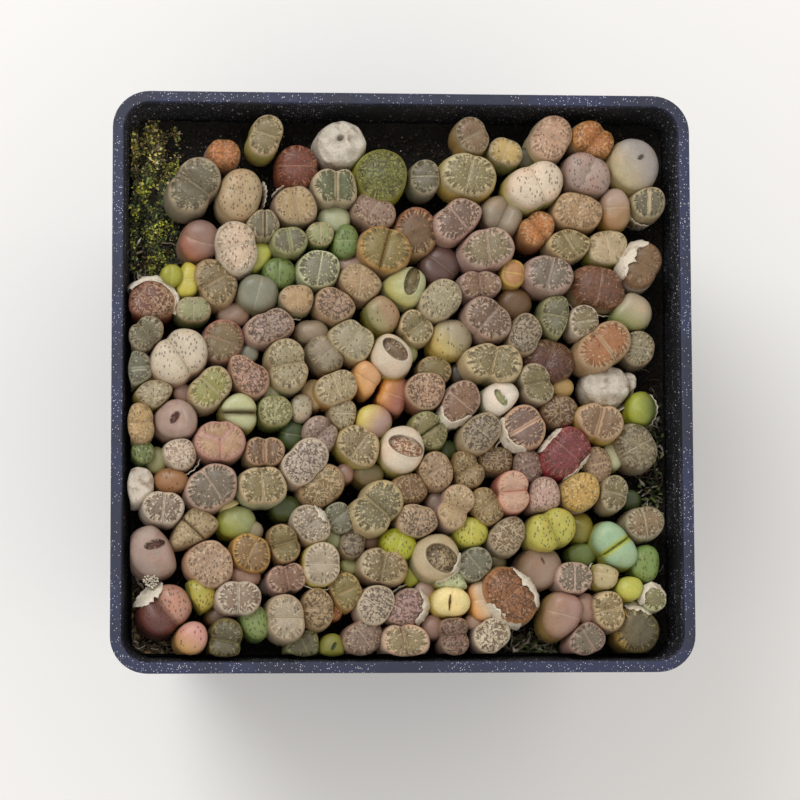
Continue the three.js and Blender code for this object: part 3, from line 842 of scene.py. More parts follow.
class Shader:
    """A node material that grows call by call."""

    def __init__(self, name):
        self.material = bpy.data.materials.new(name)
        self.material.use_nodes = True
        self.tree = self.material.node_tree
        self.surface = self.tree.nodes["Principled BSDF"]

    def node(self, kind, inputs=(), **settings):
        node = self.tree.nodes.new(kind)
        for key, value in settings.items():
            setattr(node, key, value)
        for socket, value in dict(inputs).items():
            self.feed(node.inputs[socket], value)
        return node

    def feed(self, socket, value):
        if isinstance(value, bpy.types.NodeSocket):
            self.tree.links.new(value, socket)
        else:
            socket.default_value = value

    def attribute(self, name, output="Fac"):
        return self.node("ShaderNodeAttribute", attribute_name=name).outputs[output]

    def position(self):
        """The place on the object in millimetres."""
        place = self.node("ShaderNodeTexCoord").outputs["Object"]
        return self.node("ShaderNodeVectorMath", {0: place, "Scale": 1 / MM}, operation="SCALE").outputs[0]

    def parts(self, vector):
        return self.node("ShaderNodeSeparateXYZ", {0: vector}).outputs

    def math(self, operation, first, second=0.0):
        return self.node("ShaderNodeMath", {0: first, 1: second}, operation=operation).outputs[0]

    def add(self, *values):
        total = values[0]
        for value in values[1:]:
            total = self.math("ADD", total, value)
        return total

    def times(self, *values):
        product = values[0]
        for value in values[1:]:
            product = self.math("MULTIPLY", product, value)
        return product

    def step(self, value, low, high):
        """Rises smoothly from 0 at low to 1 at high."""
        inputs = {"Value": value, "From Min": low, "From Max": high}
        return self.node("ShaderNodeMapRange", inputs, interpolation_type="SMOOTHSTEP").outputs[0]

    def fall(self, value, low, high):
        return self.math("SUBTRACT", 1.0, self.step(value, low, high))

    def noise(self, vector, scale, detail=2.0):
        inputs = {"Vector": vector, "Scale": scale, "Detail": detail}
        return self.node("ShaderNodeTexNoise", inputs).outputs[0]

    def cells(self, vector, scale):
        return self.node("ShaderNodeTexVoronoi", {"Vector": vector, "Scale": scale})

    def mix(self, share, first, second):
        node = self.node("ShaderNodeMix", data_type="RGBA")
        for socket, value in ((node.inputs[0], share), (node.inputs[6], first), (node.inputs[7], second)):
            self.feed(socket, value)
        return node.outputs[2]

    def scaled(self, colour, share):
        return self.node("ShaderNodeVectorMath", {0: colour, "Scale": share}, operation="SCALE").outputs[0]

    def multiplied(self, first, second):
        """Two colours or vectors multiplied part by part."""
        inputs = {0: first, 1: second}
        return self.node("ShaderNodeVectorMath", inputs, operation="MULTIPLY").outputs[0]

    def bump(self, height, depth):
        """Relief of the given depth in millimetres."""
        inputs = {"Height": height, "Distance": depth * MM, "Strength": 1.0}
        return self.node("ShaderNodeBump", inputs).outputs[0]

    def finish(self, **sockets):
        for name, value in sockets.items():
            self.feed(self.surface.inputs[name.replace("_", " ")], value)
        return self.material


def rgba(name, share=1.0):
    return (*(linear(name) * share), 1)


def pane_masks(s, place, crown, seam, fine):
    """Where the windows lie, with their pale flecks, the dark spines and pale gleams of their edge and the
    halo round them."""
    reach, ragged, islands = s.parts(s.attribute("windows", "Vector"))
    band = s.parts(s.attribute("markings", "Vector"))[2]
    centred = s.math("SUBTRACT", fine, 0.5)
    tooth = s.noise(s.attribute("spoke", "Vector"), 2.3, 1.0)
    raggedness = s.add(s.times(s.math("SUBTRACT", tooth, 0.5), 0.9), s.times(centred, 0.5))
    share = s.math("DIVIDE", crown, s.math("MAXIMUM", reach, 0.01))
    margin = s.add(share, s.times(raggedness, ragged))
    off_band = s.step(s.add(seam, s.times(centred, 0.7)), band, s.add(band, 0.1))
    pane = s.times(s.fall(margin, 0.94, 0.99), off_band)

    outward = s.math("MINIMUM", share, 1.0)
    fleck_field = s.add(s.noise(place, 2.1, 2.0), s.times(islands, 0.12), s.times(outward, 0.12))
    fleck = s.times(s.step(fleck_field, 0.68, 0.76), pane)
    edged = s.times(s.math("GREATER_THAN", reach, 0.1), s.math("GREATER_THAN", islands, -1.0))
    fringe = s.times(s.step(share, 0.66, 0.86), s.fall(share, 0.98, 1.06), edged)
    spine = s.times(fringe, s.fall(tooth, 0.4, 0.47), s.step(fine, 0.38, 0.5))
    gleam = s.times(fringe, s.step(tooth, 0.5, 0.6), s.step(fine, 0.42, 0.55))
    off_halo = s.math("ABSOLUTE", s.math("SUBTRACT", margin, 1.09))
    halo = s.times(s.fall(off_halo, 0.0, 0.13), 0.3, s.fall(crown, 1.0, 1.1))
    return pane, fleck, spine, gleam, halo


def mark_masks(s, place, crown, pane):
    """Dark dots and worm lines all over the top, and pale worm lines in the windows."""
    dots, veins, _ = s.parts(s.attribute("markings", "Vector"))
    on_top = s.fall(crown, 0.84, 0.97)
    dot_cells = s.cells(s.multiplied(place, (1.0, 0.55, 1.0)), 1.9)
    chosen = s.math("LESS_THAN", s.parts(dot_cells.outputs["Color"])[0], s.times(dots, 1.2))
    dot = s.times(s.fall(dot_cells.outputs["Distance"], 0.2, 0.42), chosen, on_top)
    worm_field = s.math("ABSOLUTE", s.math("SUBTRACT", s.noise(place, 1.1, 1.0), 0.5))
    broken = s.step(s.noise(place, 1.6, 2.0), 0.36, 0.46)
    worm = s.times(s.fall(worm_field, 0.03, 0.085), broken)
    dark_worm = s.times(worm, s.math("MAXIMUM", veins, 0.0), on_top)
    pale_worm = s.times(worm, s.math("MAXIMUM", s.times(veins, -1.0), 0.0), pane)
    return dot, dark_worm, pale_worm


def lithops_material():
    """Fleshy skin with windows, flecks, dots and worm lines, all steered by the mesh's attributes."""
    s = Shader("lithops_skin")
    place = s.attribute("place", "Vector")
    crown = s.attribute("crown")
    seam = s.attribute("seam")
    flesh = s.attribute("flesh", "Color")
    window = s.attribute("window", "Color")
    fine = s.noise(place, 2.4, 3.0)
    cloud = s.noise(place, 0.4, 2.0)
    pane, fleck, spine, gleam, halo = pane_masks(s, place, crown, seam, fine)
    dot, dark_worm, pale_worm = mark_masks(s, place, crown, pane)

    mottled = s.scaled(flesh, s.add(0.6, s.times(cloud, 0.4), s.times(fine, 0.4)))
    warmer = s.multiplied(mottled, (1.07, 0.96, 0.9))
    flushed = s.mix(s.step(s.noise(place, 0.25, 2.0), 0.45, 0.7), mottled, warmer)
    pale = s.mix(0.35, s.scaled(flesh, 1.35), (0.74, 0.64, 0.42, 1))
    dark = s.mix(0.75, s.scaled(window, 0.3), (0.05, 0.025, 0.012, 1))
    glass = s.scaled(window, s.add(0.35, s.times(fine, 0.75), s.times(cloud, 0.55)))
    colour = s.mix(halo, flushed, pale)
    colour = s.mix(pane, colour, glass)
    for mask, strength, paint in (
        (fleck, 0.65, pale),
        (gleam, 0.45, pale),
        (pale_worm, 0.7, pale),
        (dark_worm, 0.8, dark),
        (spine, 0.5, dark),
        (dot, 0.7, dark),
    ):
        colour = s.mix(s.times(mask, strength), colour, paint)
    lip = s.times(s.fall(seam, 0.1, 0.24), s.fall(crown, 0.8, 1.0), 0.4)
    colour = s.mix(lip, colour, pale)
    # Painted shade: a dark line down the middle of the fissure.
    colour = s.mix(s.times(s.fall(seam, 0.03, 0.1), 0.65), colour, s.scaled(window, 0.25))

    relief = s.add(
        s.times(pane, -0.4),
        s.times(fleck, 0.6),
        s.times(spine, -0.4),
        s.times(dark_worm, -0.4),
        s.times(dot, -0.3),
        s.times(s.noise(place, 5.0, 2.0), 0.4),
    )
    bare = s.math("LESS_THAN", s.parts(s.attribute("windows", "Vector"))[0], 0.1)
    uneven = s.times(s.math("SUBTRACT", cloud, 0.5), 0.25)
    roughness = s.add(0.46, s.times(pane, -0.08), s.times(bare, -0.12), uneven)
    return s.finish(Base_Color=colour, Roughness=roughness, Normal=s.bump(relief, 0.12))


def paper_material():
    """Dry dead skin: thin, pale and creased, with brown stains."""
    s = Shader("dry_skin")
    place = s.position()
    stain = s.step(s.noise(place, 0.45, 3.0), 0.52, 0.72)
    crease = s.noise(place, 2.2, 3.0)
    colour = s.mix(s.times(stain, 0.65), rgba("white", 0.85), rgba("brown", 1.3))
    colour = s.multiplied(colour, s.attribute("tint", "Color"))
    colour = s.scaled(colour, s.add(0.75, s.times(crease, 0.6)))
    return s.finish(Base_Color=colour, Roughness=0.72, Normal=s.bump(crease, 0.25))


def plastic_material():
    """Black nursery plastic with fine pale specks that fade out below the rim. Its navy tint is painted
    reflection of the sky, and painted shade makes it darkest inside.
    """
    s = Shader("pot_plastic")
    place = s.position()
    x, y, height = s.parts(place)
    drawn_in = s.times(s.math("SUBTRACT", POT_HEIGHT, height), DRAFT)
    flat = RIM_SIDE / 2 - RIM_WIDTH - INNER_CORNER
    past = [s.math("MAXIMUM", s.add(s.math("ABSOLUTE", side), drawn_in, -flat), 0.0) for side in (x, y)]
    away = s.math("SQRT", s.add(s.times(past[0], past[0]), s.times(past[1], past[1])))
    inside = s.times(s.fall(away, INNER_CORNER + 0.3, INNER_CORNER + 0.7), s.fall(height, *INNER_SHADE_TO))
    bloom = s.noise(place, 0.08, 3.0)
    grain = s.noise(place, 1.5, 3.0)
    # Partly the plastic's own near-black colour and partly painted reflection: its navy tint stands for the
    # sky reflected on it.
    colour = s.mix(s.step(bloom, 0.35, 0.65), (0.014, 0.018, 0.042, 1), (0.02, 0.027, 0.078, 1))
    # Painted shade: the inner walls go near black.
    colour = s.mix(s.times(inside, 0.9), colour, (0.003, 0.003, 0.005, 1))
    colour = s.scaled(colour, s.add(0.75, s.times(grain, 0.5)))
    upper = s.math("MAXIMUM", inside, s.add(0.12, s.times(s.step(height, *SPECKS_FROM), 0.88)))
    speck = 0.0
    slant = s.times(height, 0.2)
    dashed = {"X": s.add(x, slant), "Y": s.add(y, slant), "Z": s.times(height, 0.25)}
    dashes = s.node("ShaderNodeCombineXYZ", dashed).outputs[0]
    for where, scale, plenty, size, area in (
        (place, 1.3, 0.34, 0.14, 1.0),
        (place, 1.9, 0.4, 0.2, 1.0),
        (place, 2.6, 0.6, 0.28, 1.0),
        (dashes, 1.4, 0.6, 0.24, inside),
    ):
        specks = s.cells(where, scale)
        crowding = s.times(s.step(bloom, 0.25, 0.75), plenty)
        picked = s.math("LESS_THAN", s.parts(specks.outputs["Color"])[0], s.add(crowding, 0.06))
        dot = s.fall(specks.outputs["Distance"], size / 2, size)
        speck = s.math("MAXIMUM", speck, s.times(dot, picked, area))
    speck = s.times(speck, upper)
    dust = s.times(s.step(s.noise(place, 0.6, 4.0), 0.56, 0.78), upper, 0.1)
    colour = s.mix(dust, colour, (0.2, 0.18, 0.16, 1))
    colour = s.mix(s.times(speck, 0.85), colour, (0.8, 0.8, 0.85, 1))
    roughness = s.add(0.46, s.times(inside, 0.25), s.times(grain, 0.15))
    relief = s.add(grain, s.times(speck, 0.8))
    return s.finish(Base_Color=colour, Roughness=roughness, Normal=s.bump(relief, 0.05))


def earth_material(name, colours, size, depth, brightness=0.7):
    """Crumbs of several colours, from a noise with bumps of about size millimetres."""
    s = Shader(name)
    place = s.position()
    crumbs = s.cells(place, 1 / size)
    pick = s.parts(crumbs.outputs["Color"])[0]
    colour = rgba(colours[0])
    for index, shade in enumerate(colours[1:], 1):
        colour = s.mix(s.step(pick, index / len(colours), index / len(colours) + 0.02), colour, rgba(shade))
    mottle = s.noise(place, 1.4 / size, 3.0)
    colour = s.scaled(colour, s.times(mottle, mottle, brightness))
    relief = s.add(s.times(crumbs.outputs["Distance"], -1.0), mottle)
    return s.finish(Base_Color=colour, Roughness=0.92, Normal=s.bump(relief, depth))


def tinted_material(name, roughness):
    """Takes its colour from the mesh and mottles it."""
    s = Shader(name)
    mottle = s.noise(s.position(), 2.0, 3.0)
    colour = s.scaled(s.attribute("tint", "Color"), s.add(0.55, s.times(mottle, 0.9)))
    return s.finish(Base_Color=colour, Roughness=roughness, Normal=s.bump(mottle, 0.12))


# Heads


def off_seam(looks, cleft, x, y):
    """Each point's distance from the fissure, which runs from the middle out in two or three directions."""
    u, v = turned_by(cleft, x, y)
    if looks["form"] == "bowed":
        return np.abs(u - 0.06 * v * v + 0.5)
    if looks["form"] != "threefold":
        return np.abs(u)
    nearest = np.full(len(x), 99.0)
    for direction in THREE_SEAMS:
        along, off = turned_by(math.radians(direction) + math.pi / 2, x, y)
        nearest = np.minimum(nearest, np.where(along > 0, np.abs(off), np.hypot(x, y)))
    return nearest


def turned_by(cleft, x, y):
    """Places across and along a direction."""
    across = x * math.sin(cleft) - y * math.cos(cleft)
    along = x * math.cos(cleft) + y * math.sin(cleft)
    return across, along


def crown_depth(head, looks, seam, x, y, radius):
    """How far each point of the crown lies under its highest level, in millimetres."""
    groove, valley, _, ripple, roundness = FORMS[looks["form"]]
    depth = SHOULDER_DEPTH * head.mean * (1 - np.sqrt(1 - np.minimum(radius, 1) ** roundness))
    inside = smooth_step(radius, 1.0, 0.75)
    depth = depth + groove * np.exp(-((seam / 0.15) ** 2)) * (0.35 + 0.65 * inside)
    depth = depth + valley * np.exp(-((seam / 1.2) ** 2))
    if looks["form"] == "rings":
        depth = depth + 0.1 * np.sin(9 * radius) * inside
    return depth + ripple * ripples(x, y, 1.6, head.seed)


def pit_field(looks, x, y):
    """The distance from the middle of a head's opening, 1 at its edge."""
    dx, dy, length, width, direction = looks["pit"]
    angle = math.radians(direction)
    along = (x - dx) * math.cos(angle) + (y - dy) * math.sin(angle)
    off = (y - dy) * math.cos(angle) - (x - dx) * math.sin(angle)
    return np.hypot(along / (length / 2), off / (width / 2))


def jittered(name, rng):
    """A palette colour, a little off in hue, strength and brightness."""
    hue, strength, value = colorsys.rgb_to_hsv(*(np.array(PALETTE[name]) / 255))
    hue = (hue + rng.uniform(-0.012, 0.012)) % 1
    strength = min(strength * rng.uniform(0.88, 1.14), 1)
    value = min(value * rng.uniform(0.92, 1.06), 1)
    return straightened(np.array(colorsys.hsv_to_rgb(hue, strength, value)))


def flesh_colours(head, looks, rng, x, y, drop):
    """The head's colour at each point: blushed to one side, tinted down its body and darker towards the soil.
    """
    flesh = np.tile(jittered(looks["flesh"], rng), (len(x), 1))
    if looks["blush"]:
        name, direction, *sharp = looks["blush"]
        angle = math.radians(direction)
        side = (x * math.cos(angle) + y * math.sin(angle)) / head.mean
        start, end = (-sharp[0], sharp[0]) if sharp else (-0.5, 1)
        flesh = blend(flesh, jittered(name, rng), smooth_step(side, start, end) * 0.85)
    body = smooth_step(drop / head.mean, 0.4, 0.9)
    flesh = blend(flesh, jittered(looks["base"], rng), body * 0.85)
    # Darker towards the soil, low down the body.
    low_darkening = smooth_step(drop / head.mean, 2, 3.6)
    return blend(flesh, linear("umber") * 0.35, low_darkening * 0.8)


def fissure_direction(head, looks):
    """The direction of an opening or of the cleft, which is square to the head's length if none is given."""
    if looks["pit"]:
        return math.radians(looks["pit"][4])
    if looks["cleft"] is None:
        return head.turn + math.pi / 2
    return math.radians(looks["cleft"])


def pit_depth(edge, width):
    """How deep an opening is at each point, with a low lip round it, from the distances of pit_field."""
    floor = 0.35 + 0.35 * width - 0.12 * width * smooth_step(edge, 0.9, 0)
    lip = 0.12 * np.exp(-(((edge - 1.15) / 0.12) ** 2))
    return smooth_step(edge, 1.06, 0.86) * floor - lip


def crown_surface(head, looks, cleft, cells, lean):
    """The top of a head: x, y and the drop from its crown of each point, and how far out each point is."""
    across, along = disc_grid(cells)
    radius = np.hypot(across, along)
    direction = np.arctan2(along, across) + cleft - math.pi / 2
    out = radius * head.outline(direction, FORMS[looks["form"]][2], cleft)
    x, y = out * np.cos(direction), out * np.sin(direction)
    drop = crown_depth(head, looks, off_seam(looks, cleft, x, y), x, y, radius)
    crown = radius
    if looks["pit"]:
        edge = pit_field(looks, x, y)
        drop = drop + pit_depth(edge, looks["pit"][3])
        crown = np.where(edge < 1, edge * 0.86, 1 + edge)
    drop = drop - min(drop.min(), 0) + (x * lean.real + y * lean.imag)
    return np.column_stack([x, y, drop]), crown


def head_sides(head, top, edge_loop):
    """Rings of points from the edge of a head's top down into the soil, and the faces that close it."""
    x, y, drop = top[edge_loop].T
    rise = head.z - FOOT_LEVEL + 1
    wall = inner_wall(SOIL_TOP) - GAP
    rings, faces = [], []
    previous = edge_loop
    for number, (share, narrowing) in enumerate(SIDE_RINGS):
        lean_x, lean_y = (part * rise * min(share, 0.5) for part in BODY_LEAN)
        ring_x = np.clip(x * narrowing + lean_x, -wall - head.x, wall - head.x)
        ring_y = np.clip(y * narrowing + lean_y, -wall - head.y, wall - head.y)
        rings.append(np.column_stack([ring_x, ring_y, drop + (rise - drop) * share]))
        start = len(top) + number * len(edge_loop)
        loop = list(range(start, start + len(edge_loop)))
        faces += ring_faces(previous, loop)
        previous = loop
    return np.vstack(rings), faces + [tuple(previous)]


def seam_field(head, looks, cleft, points):
    """Each point's distance from the fissure, which is far off where a head has none."""
    groove = FORMS[looks["form"]][0]
    if groove == 0 or looks["marks"] == "papery":
        return np.full(len(points), NO_SEAM)
    x, y, drop = points.T
    softness = 0.06 if groove < 0.2 else 0
    return off_seam(looks, cleft, x, y) + softness + smooth_step(drop / head.mean, 0.4, 0.8)


def spoke_field(head, cleft, points, band):
    """Directions out from a head's middle, or from each lobe's where a wide band parts them."""
    x, y, _ = points.T
    lobe = np.sign(turned_by(cleft, x, y)[0]) * 0.24 * head.length * (band > 0.3)
    lobe_x, lobe_y = lobe * math.cos(cleft - math.pi / 2), lobe * math.sin(cleft - math.pi / 2)
    bearing = np.arctan2(y - lobe_y, x - lobe_x)
    return np.column_stack([np.cos(bearing), np.sin(bearing), np.zeros(len(points))]) * 3


def marks_of(looks):
    """A head's marks. An opening without marks of its own shows a window at its edge."""
    marks = MARKS[looks["marks"]]
    return (1, 0.9, 0.2, 0, *marks[4:]) if looks["pit"] and marks[1] == 0 else marks


def pit_shade_field(looks, x, y):
    """How far an opening's painted shade covers each point: all of a dry one, and only the edge of the rest.
    The painted shade is the opening's window colour darkened.
    """
    edge = pit_field(looks, x, y)
    if looks["marks"] == "papery":
        return smooth_step(edge, 1, 0.7)
    return smooth_step(np.abs(edge - 0.98), 0.12, 0.02)


def head_attributes(head, looks, cleft, rng, points, crown, top_count):
    """What steers a head's material at each point. The first top_count points are its top."""
    strength, reach, ragged, islands, dots, veins, band = marks_of(looks)
    count = len(points)
    seam = seam_field(head, looks, cleft, points)
    flesh = flesh_colours(head, looks, rng, *points.T)
    pane = jittered(looks["window"], rng)
    window = blend(flesh, pane, np.full(count, strength))
    if looks["pit"]:
        # Painted shade in the opening: the window colour darkened, over the pit's edge or a dry head's whole
        # opening.
        pit_shade = np.zeros(count)
        pit_shade[:top_count] = pit_shade_field(looks, *points[:top_count, :2].T)
        flesh = blend(flesh, pane * 0.35, pit_shade * 0.8)
    if looks["form"] == "lips" and reach == 0:
        flesh = blend(flesh, pane, smooth_step(seam, 1.1, 0.3) * 0.85)
    own_corner = np.array([head.x * 7.3, head.y * 5.1, head.z])
    return (
        ("place", "FLOAT_VECTOR", points * (1, 1, -0.7) + own_corner),
        ("spoke", "FLOAT_VECTOR", spoke_field(head, cleft, points, band) + own_corner),
        ("crown", "FLOAT", crown),
        ("seam", "FLOAT", seam),
        ("flesh", "FLOAT_COLOR", opaque(flesh)),
        ("tint", "FLOAT_COLOR", opaque(flesh / linear(looks["flesh"]))),
        ("window", "FLOAT_COLOR", opaque(window)),
        ("windows", "FLOAT_VECTOR", np.tile((reach, ragged, islands), (count, 1))),
        ("markings", "FLOAT_VECTOR", np.tile((dots, veins, band), (count, 1))),
    )


def head_piece(name, head, looks, materials):
    """One head, from its crown down into the soil."""
    rng = random.Random(head.seed)
    cells = MORE_CELLS if looks["pit"] else FEWER_CELLS if head.length < SMALL_HEAD else CELLS
    cleft = fissure_direction(head, looks)
    lean = cmath.rect(rng.uniform(0.03, MOST_LEAN), rng.uniform(0, math.tau))
    edge_loop = grid_edge(cells)
    top, crown = crown_surface(head, looks, cleft, cells, lean)
    sides, side_faces = head_sides(head, top, edge_loop)
    points = np.vstack([top, sides])
    crown = np.concatenate([crown, 1 + np.arange(len(sides)) / len(edge_loop) * 0.2])
    attributes = head_attributes(head, looks, cleft, rng, points, crown, len(top))
    place_in_pot = inside_walls(points * (1, 1, -1) + (head.x, head.y, head.z))
    faces = grid_faces(cells, cells) + side_faces
    if looks["marks"] == "papery":
        return new_piece(name, place_in_pot, faces, materials["paper"], attributes)
    return new_piece(name, place_in_pot, faces, materials["lithops"], attributes)


def skin_piece(name, head, middle, sweep, height, flare, lap, material):
    """A torn strip of dry skin that stands round one side of a head and may lap over its crown."""
    rng = random.Random(head.seed + 5)
    rows, lap_rows = SKIN_ROWS, SKIN_LAP_ROWS if lap else 0
    points = []
    for column in range(SKIN_COLUMNS + 1):
        share = column / SKIN_COLUMNS
        angle = math.radians(middle + sweep * (share - 0.5))
        radius = float(head.outline(np.array([angle]), 0, 0)[0])
        ends = math.sin(math.pi * min(max(share, 0.02), 0.98)) ** 0.4
        ragged = ends * (0.88 + 0.12 * math.sin(share * 11 + head.x) + rng.uniform(-0.05, 0.05))
        edge_level = head.z - SHOULDER_DEPTH * head.mean
        top = edge_level - head.mean * (1 - height * min(ragged, 1)) * 0.9
        for row in range(rows + 1):
            up = row / rows
            z = FOOT_LEVEL + 0.4 + (top - FOOT_LEVEL - 0.4) * up
            crinkle = 0.09 * math.sin(share * 37 + up * 5) + 0.05 * math.sin(share * 71 + up * 9)
            out = radius * 1.08 + 0.12 + crinkle + flare * head.mean * max(up - 0.7, 0) * 1.5
            lean = min((head.z - z) / 2, 3)
            points.append((out, angle, z, BODY_LEAN[0] * lean, BODY_LEAN[1] * lean))
        for row in range(1, lap_rows + 1):
            inward = row / lap_rows * lap * ragged * (1 + 0.15 * math.sin(share * 23))
            out = max(radius + 0.1 + flare * head.mean * 0.45 * (1 - row / lap_rows) - inward, 0.2)
            roundness = min(out / radius, 1) ** 3
            drop = SHOULDER_DEPTH * head.mean * (1 - math.sqrt(max(1 - roundness, 0)))
            lift = 0.16 + 0.08 * math.sin(share * 31 + row)
            points.append((out, angle, max(head.z - drop, top) + lift, 0, 0))
    places = [
        (head.x + out * math.cos(angle) + dx, head.y + out * math.sin(angle) + dy, z)
        for out, angle, z, dx, dy in points
    ]
    faces = grid_faces(SKIN_COLUMNS, rows + lap_rows)
    tint = [("tint", "FLOAT_COLOR", np.ones((len(places), 4)))]
    piece = new_piece(name, inside_walls(places), faces, material, tint)
    sheet = piece.modifiers.new("thickness", "SOLIDIFY")
    sheet.thickness = SKIN_THICKNESS * MM
    sheet.offset = 0
    apply_modifiers(piece)


def apply_modifiers(piece):
    graph = bpy.context.evaluated_depsgraph_get()
    made = bpy.data.meshes.new_from_object(piece.evaluated_get(graph))
    piece.modifiers.clear()
    piece.data = made


# Pot, soil and litter


def pot_piece(material):
    """The frame's pot with its edges rounded."""
    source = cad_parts["pot"].data
    shape = bmesh.new()
    shape.from_mesh(source)
    bmesh.ops.remove_doubles(shape, verts=shape.verts, dist=0.002 * MM)
    bmesh.ops.dissolve_limit(shape, angle_limit=math.radians(1), verts=shape.verts, edges=shape.edges)
    mesh = bpy.data.meshes.new("pot_shell")
    shape.to_mesh(mesh)
    shape.free()
    mesh.polygons.foreach_set("use_smooth", [True] * len(mesh.polygons))
    mesh.materials.append(material)
    piece = placed("pot_shell", mesh)
    rounding = piece.modifiers.new("rounding", "BEVEL")
    rounding.width = RIM_ROUNDING * MM
    rounding.segments = 3
    rounding.angle_limit = math.radians(40)
    normals = piece.modifiers.new("normals", "WEIGHTED_NORMAL")
    normals.keep_sharp = True
    apply_modifiers(piece)
    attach(piece, "root")
    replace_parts(piece, "pot")


def crust_height(x, y):
    """The level of the loose top of the soil."""
    lumps = 0.9 * ripples(x, y, 9, 11) + 0.45 * ripples(x, y, 2.6, 12) + 0.22 * ripples(x, y, 1.1, 13)
    return SOIL_TOP + 1.5 + lumps


def crust_piece(material):
    half = inner_wall(SOIL_TOP) - CLEARANCE
    steps = np.linspace(-half, half, CRUST_CELLS + 1)
    x, y = (values.ravel() for values in np.meshgrid(steps, steps, indexing="ij"))
    edge = np.maximum(np.abs(x), np.abs(y))
    z = crust_height(x, y) + 0.9 * smooth_step(edge, half - 3, half)
    points = inside_walls(np.column_stack([x, y, z]))
    return new_piece("soil_crust", points, grid_faces(CRUST_CELLS, CRUST_CELLS), material)


def clear_of(heads, x, y):
    """Whether a place on the soil is clear of every head."""
    for head in heads:
        away = math.hypot(x - head.x, y - head.y)
        if away >= NEAR_HEAD:
            continue
        if away < float(head.reach(math.atan2(y - head.y, x - head.x))) * 0.92 + CLEARANCE:
            return False
    return True


def pebble(rng, centre, size):
    """A small broken stone or crumb."""
    shape = bmesh.new()
    bmesh.ops.create_icosphere(shape, subdivisions=1, radius=1)
    stretch = Vector((rng.uniform(0.7, 1.3), rng.uniform(0.6, 1.1), rng.uniform(0.5, 0.9)))
    turn = rng.uniform(0, math.tau)
    points = []
    for vertex in shape.verts:
        spot = vertex.co * rng.uniform(0.75, 1.15) * size
        spot = Vector((spot.x * stretch.x, spot.y * stretch.y, spot.z * stretch.z))
        x = spot.x * math.cos(turn) - spot.y * math.sin(turn)
        y = spot.x * math.sin(turn) + spot.y * math.cos(turn)
        points.append((centre[0] + x, centre[1] + y, centre[2] + spot.z))
    faces = [tuple(vertex.index for vertex in face.verts) for face in shape.faces]
    shape.free()
    return points, faces


def tinted_piece(name, parts, tints, material):
    """Many small bodies, each of one tint, as one piece."""
    points, faces = joined(parts)
    colours = np.vstack([np.tile(tint, (len(body[0]), 1)) for body, tint in zip(parts, tints)])
    attributes = [("tint", "FLOAT_COLOR", opaque(colours))]
    return new_piece(name, inside_walls(points), faces, material, attributes)


def grit_piece(heads, material):
    """Dark crumbs and a few pale chips on the open soil."""
    rng = random.Random(21)
    half = RIM_SIDE / 2 - RIM_WIDTH - GRIT_MARGIN
    dark = ("charcoal", "umber", "charcoal", "slate", "brown")
    pale = ("ash", "white", "olive", "cream", "grey")
    parts, tints = [], []
    while len(parts) < GRIT_COUNT:
        x, y = rng.uniform(-half, half), rng.uniform(-half, half)
        if not clear_of(heads, x, y):
            continue
        is_pale = rng.random() < (0.4 if y > PALE_GRIT_FROM else 0.2)
        size = rng.uniform(0.08, 0.24) if is_pale else rng.uniform(0.14, 0.55)
        z = at(crust_height, x, y) + size * 0.5
        parts.append(pebble(rng, (x, y, z), size))
        shade = linear(rng.choice(pale if is_pale else dark))
        tints.append(shade * (rng.uniform(0.4, 1) if is_pale else rng.uniform(0.1, 0.4)))
    return tinted_piece("grit", parts, tints, material)


def moss_height(x, y, low, high):
    """The level of the moss: a lumpy mat that thins out to its edges."""
    across = (x - (low.x + high.x) / 2) / ((high.x - low.x) / 2)
    along = (y - (low.y + high.y) / 2) / ((high.y - low.y) / 2)
    mound = np.sqrt(np.maximum(1 - (across**2 + along**2) * 0.9, 0))
    lumps = 0.5 * ripples(x, y, 3, 31) + 0.3 * ripples(x, y, 1.3, 32)
    return low.z - 0.4 + (high.z - low.z) * mound + lumps * mound


def moss_bounds():
    low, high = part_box("moss_patch")
    return low / MM, high / MM


def moss_mat(material):
    low, high = moss_bounds()
    across, along = MOSS_CELLS
    x_steps = np.linspace(low.x, high.x, across + 1)
    y_steps = np.linspace(low.y, high.y, along + 1)
    x, y = (values.ravel() for values in np.meshgrid(x_steps, y_steps, indexing="ij"))
    z = moss_height(x, y, low, high)
    points = inside_walls(np.column_stack([x, y, z]))
    piece = new_piece("moss_mat", points, grid_faces(across, along), material)
    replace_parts(piece, "moss_patch")


def leaflet(rng, root, size, lean):
    """A folded leaf of moss as two faces on a bent midrib."""
    direction = rng.uniform(0, math.tau)
    out = Vector((math.cos(direction), math.sin(direction), 0))
    side = Vector((-out.y, out.x, 0)) * size * 0.28
    base = Vector(root)
    middle = base + out * size * 0.45 * lean + Vector((0, 0, size * 0.5))
    tip = base + out * size * lean + Vector((0, 0, size * rng.uniform(0.3, 0.8)))
    points = [base - side * 0.5, base + side * 0.5, middle + side, middle - side, tip]
    return points, [(0, 1, 2, 3), (3, 2, 4)]


def moss_tint_and_light(rng, x, y, low, high):
    """Black-green in some patches, partly the moss's dark colour and partly painted shade, fresh green in
    others and straw yellow towards the pot's corner, each leaf made darker or brighter at random as painted
    shade and painted highlight.
    """
    patch = at(ripples, x, y, 3.5, 44)
    corner = (y - low.y) / (high.y - low.y) + 0.35 * rng.uniform(-1, 1)
    if corner > 0.75:
        shades = ("lemon", "golden", "yellowgreen", "butter", "olive", "cream")
    elif patch > 0.1:
        shades = ("green", "moss", "lime", "bottle", "yellowgreen", "lime")
    else:
        shades = ("bottle", "charcoal", "bottle", "moss", "charcoal", "green")
    # Painted light and shade: near black leaves stand for shade in the gaps, and leaves up to twice as bright
    # for highlights on the tufts.
    return linear(rng.choice(shades)) * rng.choice((0.08, 0.25, 0.6, 1.2, 2))


